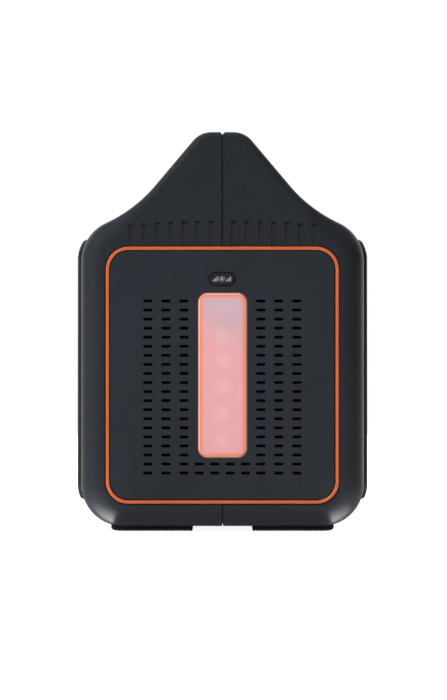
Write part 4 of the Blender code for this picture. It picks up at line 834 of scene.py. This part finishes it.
def battery_sign(y, z):
    """A battery with four full bars, a plug at one side and a bolt at the other."""
    marks = [bar(y, z + s * 4.6, 11.4, 0.3) for s in (-1, 1)] + [bar(y + s * 11.1, z, 0.3, 4.9) for s in (-1, 1)]
    marks.append(bar(y + 12.2, z, 0.7, 1.6))
    marks += [plate(y + (k - 1.5) * 5.1, z, 2.1, 3.5, 0.5, 30) for k in range(4)]
    for sign, at in ((plug_sign, y - 20), (bolt_sign, y + 20)):
        marks += [outline * 1.5 - np.array((at, z)) * 0.5 for outline in sign(at, z)]
    return marks


# ---- materials
class Nodes:
    """Short calls that add nodes to a material or a world."""

    def __init__(self, owner):
        owner.use_nodes = True
        self.tree = owner.node_tree

    def add(self, kind, out=0, inputs=(), **settings):
        """Adds a node, sets or links its inputs, and gives back one of its outputs."""
        made = self.tree.nodes.new("ShaderNode" + kind)
        for key, value in settings.items():
            setattr(made, key, value)
        for key, value in dict(inputs).items():
            socket = made.inputs[key]
            if isinstance(value, bpy.types.NodeSocket):
                self.tree.links.new(value, socket)
            elif isinstance(value, tuple) and len(value) == 3 and socket.type == "RGBA":
                socket.default_value = (*value, 1)
            else:
                socket.default_value = value
        return made.outputs[out]

    def math(self, how, a, b=0.0, c=0.0):
        return self.add("Math", inputs={0: a, 1: b, 2: c}, operation=how)

    def times(self, a, b):
        return self.math("MULTIPLY", a, b)

    def plus(self, a, b):
        return self.math("ADD", a, b)

    def less(self, a, b):
        return self.math("SUBTRACT", a, b)

    def ramp(self, value, low, high, start=0.0, end=1.0):
        inputs = {"Value": value, "From Min": low, "From Max": high, "To Min": start, "To Max": end}
        return self.add("MapRange", inputs=inputs, interpolation_type="SMOOTHSTEP")

    def rays(self, *kinds):
        """1 for each of these kinds of ray."""
        return [self.add("LightPath", f"Is {kind} Ray") for kind in kinds]


class Shader(Nodes):
    """A material. Its patterns are laid out in the object's own space, in metres."""

    def __init__(self, name, colour, roughness, metallic=0.0, **more):
        self.material = bpy.data.materials.new(name)
        super().__init__(self.material)
        self.material.diffuse_color = (*colour, 1)
        self.surface = self.tree.nodes["Principled BSDF"]
        self.place = self.add("TexCoord", "Object")
        self.colour, self.roughness, self.height = colour, roughness, None
        self.surface.inputs["Metallic"].default_value = metallic
        for key, value in more.items():
            self.surface.inputs[key.replace("_", " ")].default_value = value

    def glow(self, colour, strength):
        self.tree.links.new(colour, self.surface.inputs["Emission Color"])
        self.surface.inputs["Emission Strength"].default_value = strength

    def mix(self, share, a, b, how="MIX"):
        return self.add("Mix", 2, {0: share, 6: a, 7: b}, data_type="RGBA", blend_type=how)

    def noise(self, scale, detail=2.0, rough=0.5, where=None):
        inputs = {"Vector": where or self.place, "Scale": scale, "Detail": detail, "Roughness": rough}
        return self.add("TexNoise", inputs=inputs)

    def stretched(self, x, y, z):
        return self.add("VectorMath", inputs={0: self.place, 1: (x, y, z)}, operation="MULTIPLY")

    def edges(self, radius):
        """1 where the surface turns sharply within the radius, in millimetres, broken up by noise: the mask for edges
        painted lighter, a painted highlight that is partly rubbing from handling.
        """
        soft = self.add("Bevel", inputs={"Radius": radius * MM}, samples=4)
        hard = self.add("NewGeometry", "Normal")
        turn = self.add("VectorMath", "Value", {0: soft, 1: hard}, operation="DOT_PRODUCT")
        sharp = self.ramp(self.less(1.0, turn), 0.02, 0.25)
        return self.times(sharp, self.ramp(self.noise(220, 3), 0.3, 0.7, 0.35, 1))

    def bump(self, height, depth):
        """Adds a height from 0 to 1, this many millimetres deep."""
        inputs = {"Height": height, "Distance": depth * MM, "Strength": 1.0}
        if self.height is not None:
            inputs["Normal"] = self.height
        self.height = self.add("Bump", inputs=inputs)

    def vary(self, scale, amount, by_roughness=0.0):
        """Lighter and darker patches, by this share of the colour."""
        patch = self.noise(scale, 4, 0.6)
        lit = self.ramp(patch, 0.25, 0.75, 1 - amount, 1 + amount)
        self.colour = self.mix(1.0, self.colour, self.add("CombineColor", inputs={0: lit, 1: lit, 2: lit}), "MULTIPLY")
        if by_roughness:
            self.rougher(self.ramp(patch, 0.25, 0.75, -by_roughness, by_roughness))

    def rougher(self, by):
        self.roughness = self.plus(self.roughness, by)

    def done(self):
        feed = {"Base Color": self.colour, "Roughness": self.roughness, "Normal": self.height}
        for key, value in feed.items():
            if isinstance(value, bpy.types.NodeSocket):
                self.tree.links.new(value, self.surface.inputs[key])
        return self.material


def brighter(colour, by):
    return tuple(min(1, c * by) for c in colour)


def moulded(name, colour, roughness, grain, depth, rub_and_highlight_lift=1.35, **more):
    """Spark-textured plastic: a fine grain, faint handling patches and edges a little lighter and smoother, their
    lightness a painted highlight that is partly rubbing from handling.
    """
    made = Shader(name, colour, roughness, **more)
    made.vary(30, 0.05, 0.03)
    spark = made.noise(grain, 3, 0.65)
    made.vary(grain * 0.5, 0.16)
    rubbed_and_highlit_edges = made.edges(0.5)
    # Edges painted lighter: a painted highlight, partly rubbing from handling.
    made.colour = made.mix(rubbed_and_highlit_edges, made.colour, brighter(colour, rub_and_highlight_lift))
    made.rougher(made.times(rubbed_and_highlit_edges, -0.08))
    made.bump(spark, depth)
    return made.done()


def metal(name, colour, roughness, brushed, depth=0.004):
    """Machined or rolled metal: fine marks along the work, faint stains and brighter edges."""
    made = Shader(name, colour, roughness, metallic=1.0)
    marks = made.noise(900, 4, 0.7, made.stretched(*brushed))
    made.vary(90, 0.07, 0.05)
    made.rougher(made.ramp(marks, 0.3, 0.7, -0.08, 0.12))
    made.colour = made.mix(made.edges(0.3), made.colour, brighter(colour, 1.2))
    made.bump(marks, depth)
    return made.done()


def rubber():
    made = Shader("ribbed_rubber", (0.017, 0.017, 0.018), 0.78)
    made.vary(60, 0.12, 0.06)
    dust = made.ramp(made.noise(700, 5, 0.7), 0.52, 0.75)
    made.colour = made.mix(made.times(dust, 0.35), made.colour, (0.06, 0.058, 0.055))
    made.bump(made.noise(3200, 3), 0.015)
    return made.done()


def diffuser():
    """The milky light bar: lit dimly from behind by a row of LEDs, more orange at its rim, greyer at its top, with a
    pale painted highlight along its very edge.
    """
    made = Shader("light_diffuser", LENS_PINK, 0.33, Subsurface_Weight=0.0)
    x, z = (made.add("SeparateXYZ", axis, {0: made.place}) for axis in "XZ")
    across = made.math("ABSOLUTE", x)
    up = made.math("ABSOLUTE", made.less(z, END_Z * MM))
    inset = made.math("SMOOTH_MIN", made.less(LENS_X * MM, across), made.less(LENS_Z * MM, up), 0.003)
    # edge is the outermost lens border, where a pale highlight is painted.
    rim, edge = made.ramp(inset, 0.0009, 0.0030, 1, 0), made.ramp(inset, 0.0003, 0.0009, 1, 0)
    over_lowest = made.less(z, (LED_LOWEST - LED_PITCH / 2) * MM)
    beside = made.less(made.math("MODULO", over_lowest, LED_PITCH * MM), LED_PITCH / 2 * MM)
    away = made.math("SQRT", made.plus(made.times(beside, beside), made.times(x, x)))
    spot = made.ramp(away, 0.0, 0.0066, 1, 0)
    cloud = made.noise(120, 3)
    high = made.ramp(made.plus(z, made.times(x, 0.6)), 0.088, 0.118)
    lit = made.mix(spot, LENS_PINK, LENS_SPOT)
    lit = made.mix(made.times(high, 0.75), lit, LENS_GREY)
    lit = made.mix(made.ramp(cloud, 0.3, 0.7, 0, 0.25), lit, LENS_PALE)
    lit = made.mix(edge, made.mix(rim, lit, LENS_RIM), LENS_PAINTED_HIGHLIGHT)
    made.colour = lit
    made.glow(lit, LENS_GLOW)
    made.rougher(made.ramp(cloud, 0.3, 0.7, -0.04, 0.06))
    made.bump(made.noise(1500, 2), 0.006)
    return made.done()


def board(name, mask, track):
    """A circuit board: tracks under the solder mask, with bright pads here and there."""
    made = Shader(name, mask, 0.35)
    cells = made.add("TexVoronoi", inputs={"Vector": made.place, "Scale": 330.0}, feature="F1", distance="CHEBYCHEV")
    lines = made.ramp(made.math("MODULO", made.times(cells, 4.0), 1.0), 0.42, 0.5)
    made.colour = made.mix(lines, mask, track)
    pads = made.add("TexVoronoi", inputs={"Vector": made.place, "Scale": 240.0}, feature="F1")
    dots = made.ramp(pads, 0.10, 0.14, 1, 0)
    made.colour = made.mix(dots, made.colour, (0.6, 0.56, 0.5))
    made.rougher(made.times(dots, -0.1))
    made.bump(lines, 0.02)
    return made.done()


def film(name, colour):
    """Shrink film over a cell: a fine wrinkle along its length and a few scuffs."""
    made = Shader(name, colour, 0.3, Coat_Weight=0.3)
    made.vary(45, 0.1, 0.06)
    wrinkle = made.noise(150, 3, 0.6, made.stretched(1, 0.12, 1))
    scuff = made.ramp(made.noise(500, 5, 0.7), 0.62, 0.72)
    made.colour = made.mix(made.times(scuff, 0.3), made.colour, brighter(colour, 3))
    made.bump(wrinkle, 0.25)
    return made.done()


def glass():
    made = Shader("display_cover", (0.006, 0.0065, 0.008), 0.06, Coat_Weight=0.5, Coat_Roughness=0.03)
    smear = made.ramp(made.noise(70, 5, 0.6), 0.45, 0.75)
    made.rougher(made.times(smear, 0.1))
    made.vary(160, 0.15)
    made.bump(made.noise(26, 2), 0.01)
    return made.done()


def lit_marks():
    """The display's marks, lit by a slightly uneven backlight."""
    made = Shader("display_backlight", (0.35, 0.6, 0.75), 0.5)
    uneven = made.noise(180, 3)
    made.colour = made.mix(uneven, (0.28, 0.52, 0.7), (0.45, 0.7, 0.82))
    made.glow(made.colour, 0.7)
    made.rougher(made.ramp(uneven, 0.3, 0.7, -0.1, 0.1))
    made.bump(made.noise(2500), 0.004)
    return made.done()


def ink():
    """Printed marks: slightly uneven pale grey ink."""
    made = Shader("print", (0.33, 0.33, 0.37), 0.6)
    made.vary(900, 0.18, 0.08)
    made.bump(made.noise(4000), 0.004)
    return made.done()


CHARCOAL, PANEL_GREY, ORANGE = (0.0165, 0.0195, 0.026), (0.0225, 0.0262, 0.034), (0.68, 0.15, 0.055)
LENS_PINK, LENS_SPOT, LENS_PALE = (0.70, 0.335, 0.35), (0.73, 0.40, 0.385), (0.72, 0.39, 0.41)
# The palest lens colour here is the painted highlight along the lens's very edge.
LENS_GREY, LENS_RIM, LENS_PAINTED_HIGHLIGHT, LENS_GLOW = (0.42, 0.37, 0.43), (0.78, 0.22, 0.13), (0.76, 0.42, 0.34), 0.3


def materials():
    return {
        "casing": moulded("charcoal_plastic", CHARCOAL, 0.38, 1500, 0.03),
        "panel": moulded("panel_plastic", PANEL_GREY, 0.4, 3400, 0.01, Specular_IOR_Level=0.35),
        "orange": moulded("orange_plastic", ORANGE, 0.4, 3400, 0.006, 1.15),
        "side": moulded("side_plastic", (0.017, 0.019, 0.024), 0.42, 3000, 0.012),
        "button": moulded("button_plastic", (0.012, 0.013, 0.016), 0.4, 3600, 0.006),
        "cap": moulded("cap_plastic", (0.014, 0.015, 0.017), 0.45, 2200, 0.02),
        "black": moulded("black_plastic", (0.012, 0.012, 0.013), 0.5, 2400, 0.012),
        "tongue": moulded("pale_plastic", (0.55, 0.55, 0.53), 0.45, 2400, 0.006, 1.1),
        "white": moulded("reflector_plastic", (0.75, 0.75, 0.73), 0.4, 2000, 0.01, 1.05),
        "rubber": rubber(),
        "lens": diffuser(),
        "glass": glass(),
        "lit": lit_marks(),
        "print": ink(),
        "steel": metal("plated_steel", (0.52, 0.53, 0.55), 0.28, (1, 1, 6)),
        "brass": metal("brass", (0.72, 0.49, 0.2), 0.26, (1, 5, 1)),
        "aluminium": metal("aluminium", (0.62, 0.63, 0.65), 0.36, (1, 0.1, 1), 0.01),
        "green_board": board("green_board", (0.008, 0.055, 0.024), (0.014, 0.10, 0.04)),
        "dark_board": board("dark_board", (0.008, 0.008, 0.009), (0.016, 0.016, 0.017)),
        "cell": film("cell_film", (0.02, 0.07, 0.22)),
        "red_lead": moulded("red_sleeve", (0.42, 0.02, 0.015), 0.5, 1500, 0.01, 1.2),
        "black_lead": moulded("black_sleeve", (0.015, 0.015, 0.016), 0.5, 1500, 0.01),
    }


CARRIED = {  # what the names of the CAD nodes that stay start with
    "steel": "casing_screw_", "cell": "battery_cell_", "brass": "busbar_", "aluminium": "heat_sink",
    "black": ("fan_frame", "battery_tray", "battery_top_frame", "light_switch", "display_module"),
    "green_board": ("battery_board", "control_board", "power_board"), "dark_board": "light_board",
    "white": "light_reflector", "red_lead": "battery_lead_positive", "black_lead": "battery_lead_negative",
}


def piece(obj, look, *nodes, body="pack"):
    """Gives a finished piece its material and its body, and hides the nodes it stands for."""
    paint(obj, look)
    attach(obj, body)
    if nodes:
        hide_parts(*nodes)


def solid(obj, look, *nodes, body="pack"):
    """A piece with smooth shading."""
    piece(smooth(obj), look, *nodes, body=body)


def paint(obj, look):
    """Gives an object one of the looks, and no other."""
    obj.data.materials.clear()
    obj.data.materials.append(looks[look])


def dress_nodes():
    """New materials for the CAD nodes that stay."""
    for look, starts in CARRIED.items():
        for name, obj in NODES.items():
            if name.startswith(starts):
                paint(obj, look)


# ---- stage
def white_world():
    """A studio dome, white behind and paler above and to the left. The camera sees it white all round."""
    world = bpy.data.worlds.new("studio")
    bpy.context.scene.world = world
    sky = Nodes(world)
    place, strength = sky.add("TexCoord", "Generated"), DIM_WALLS
    for axis, start, end, most in DOME:
        strength = sky.plus(sky.ramp(sky.add("SeparateXYZ", axis, {0: place}), start, end, 0, most), strength)
    soft, plain = (sky.add("Background", inputs={"Color": (1, 1, 1), "Strength": how}) for how in (strength, 1.0))
    seen = sky.math("MAXIMUM", *sky.rays("Camera", "Transmission"))
    mix = sky.add("MixShader", inputs={0: seen, 1: soft, 2: plain})
    sky.tree.links.new(mix, sky.tree.nodes["World Output"].inputs["Surface"])


def floor():
    """A pale table. The camera sees it white but for the shadow, and gloss sees it lit close round the object."""
    made = slab("studio_floor", "Z", -20, -0.02, circle(0, 0, 2500, 96))
    look = Shader("studio_floor", (0.4, 0.4, 0.4), 0.9)
    look.vary(3, 0.01, 0.02)
    near = look.ramp(look.add("VectorMath", 1, {0: look.place}, operation="LENGTH"), 0.16, 0.42, TABLE_GLOW, 0)
    camera_ray, gloss, through = look.rays("Camera", "Glossy", "Transmission")
    glow = look.times(look.math("MAXIMUM", camera_ray, through), FLOOR_GLOW)
    glow = look.plus(glow, look.times(gloss, near))
    look.surface.inputs["Emission Color"].default_value = (1, 1, 1, 1)
    look.tree.links.new(glow, look.surface.inputs["Emission Strength"])
    made.data.materials.append(look.done())


def lamp(name, place, aim, size, power, shine=False):
    """A soft box in millimetres, facing its aim. Only one with shine shows in the gloss of what it lights."""
    data = bpy.data.lights.new(name, "AREA")
    data.shape, data.size, data.size_y = "RECTANGLE", size[0] * MM, size[1] * MM
    data.energy = power
    if shine:
        data.spread = TABLE_SPREAD
    obj = linked(name, data)
    obj.location = Vector(place) * MM
    obj.rotation_euler = (Vector(aim) - Vector(place)).to_track_quat("-Z", "Y").to_euler()
    obj.visible_camera, obj.visible_glossy = False, shine


DIM_WALLS, FLOOR_GLOW, TABLE_GLOW, TABLE_SPREAD = 0.09, 0.92, 0.12, radians(110)
CAMERA_PLACE, CAMERA_LENS, SENSOR = (0.5, -2315, 91.15), 226.3, 36
DOME = (("X", 0.1, -0.9, 0.12), ("Z", 0.1, 0.9, 0.2), ("Y", 0.3, 0.95, 0.7))  # axis, from, to, what it adds
LAMPS = (
    ("key_light", (-1800, -1200, 700), (0, 0, 80), (1300, 900), 29),
    ("high_light", (-1200, -1300, 1500), (0, 0, 80), (1300, 900), 27),
    ("side_light", (1300, 1500, 800), (0, 0, 60), (900, 700), 62),
    ("back_light", (-500, 1900, 900), (0, 0, 100), (1400, 1000), 30),
    ("table_light_left", (-69, -119, 0.5), (-69, -119, 100), (26, 26), 0.0065, True),
    ("table_light_right", (66, -117, 0.5), (66, -117, 100), (20, 22), 0.0035, True),
)


def camera():
    """A long lens, square on the light end like the photograph's."""
    data = bpy.data.cameras.new("photo_camera")
    data.sensor_width, data.lens = SENSOR, CAMERA_LENS
    data.clip_start, data.clip_end = 0.1, 50
    obj = linked("photo_camera", data)
    obj.location = Vector(CAMERA_PLACE) * MM
    obj.rotation_euler = (pi / 2, 0, 0)
    bpy.context.scene.camera = obj


looks = materials()
dress_nodes()
casing_pieces()
trim_ring("light_end_ring", -1)
trim_ring("fan_end_ring", 1)
light_end()
fan_end()
feet()
rear_side()
front_side()
caps()
sockets()
front_controls()
white_world()
floor()
for settings in LAMPS:
    lamp(*settings)
camera()
bpy.context.scene.view_settings.view_transform = "Standard"
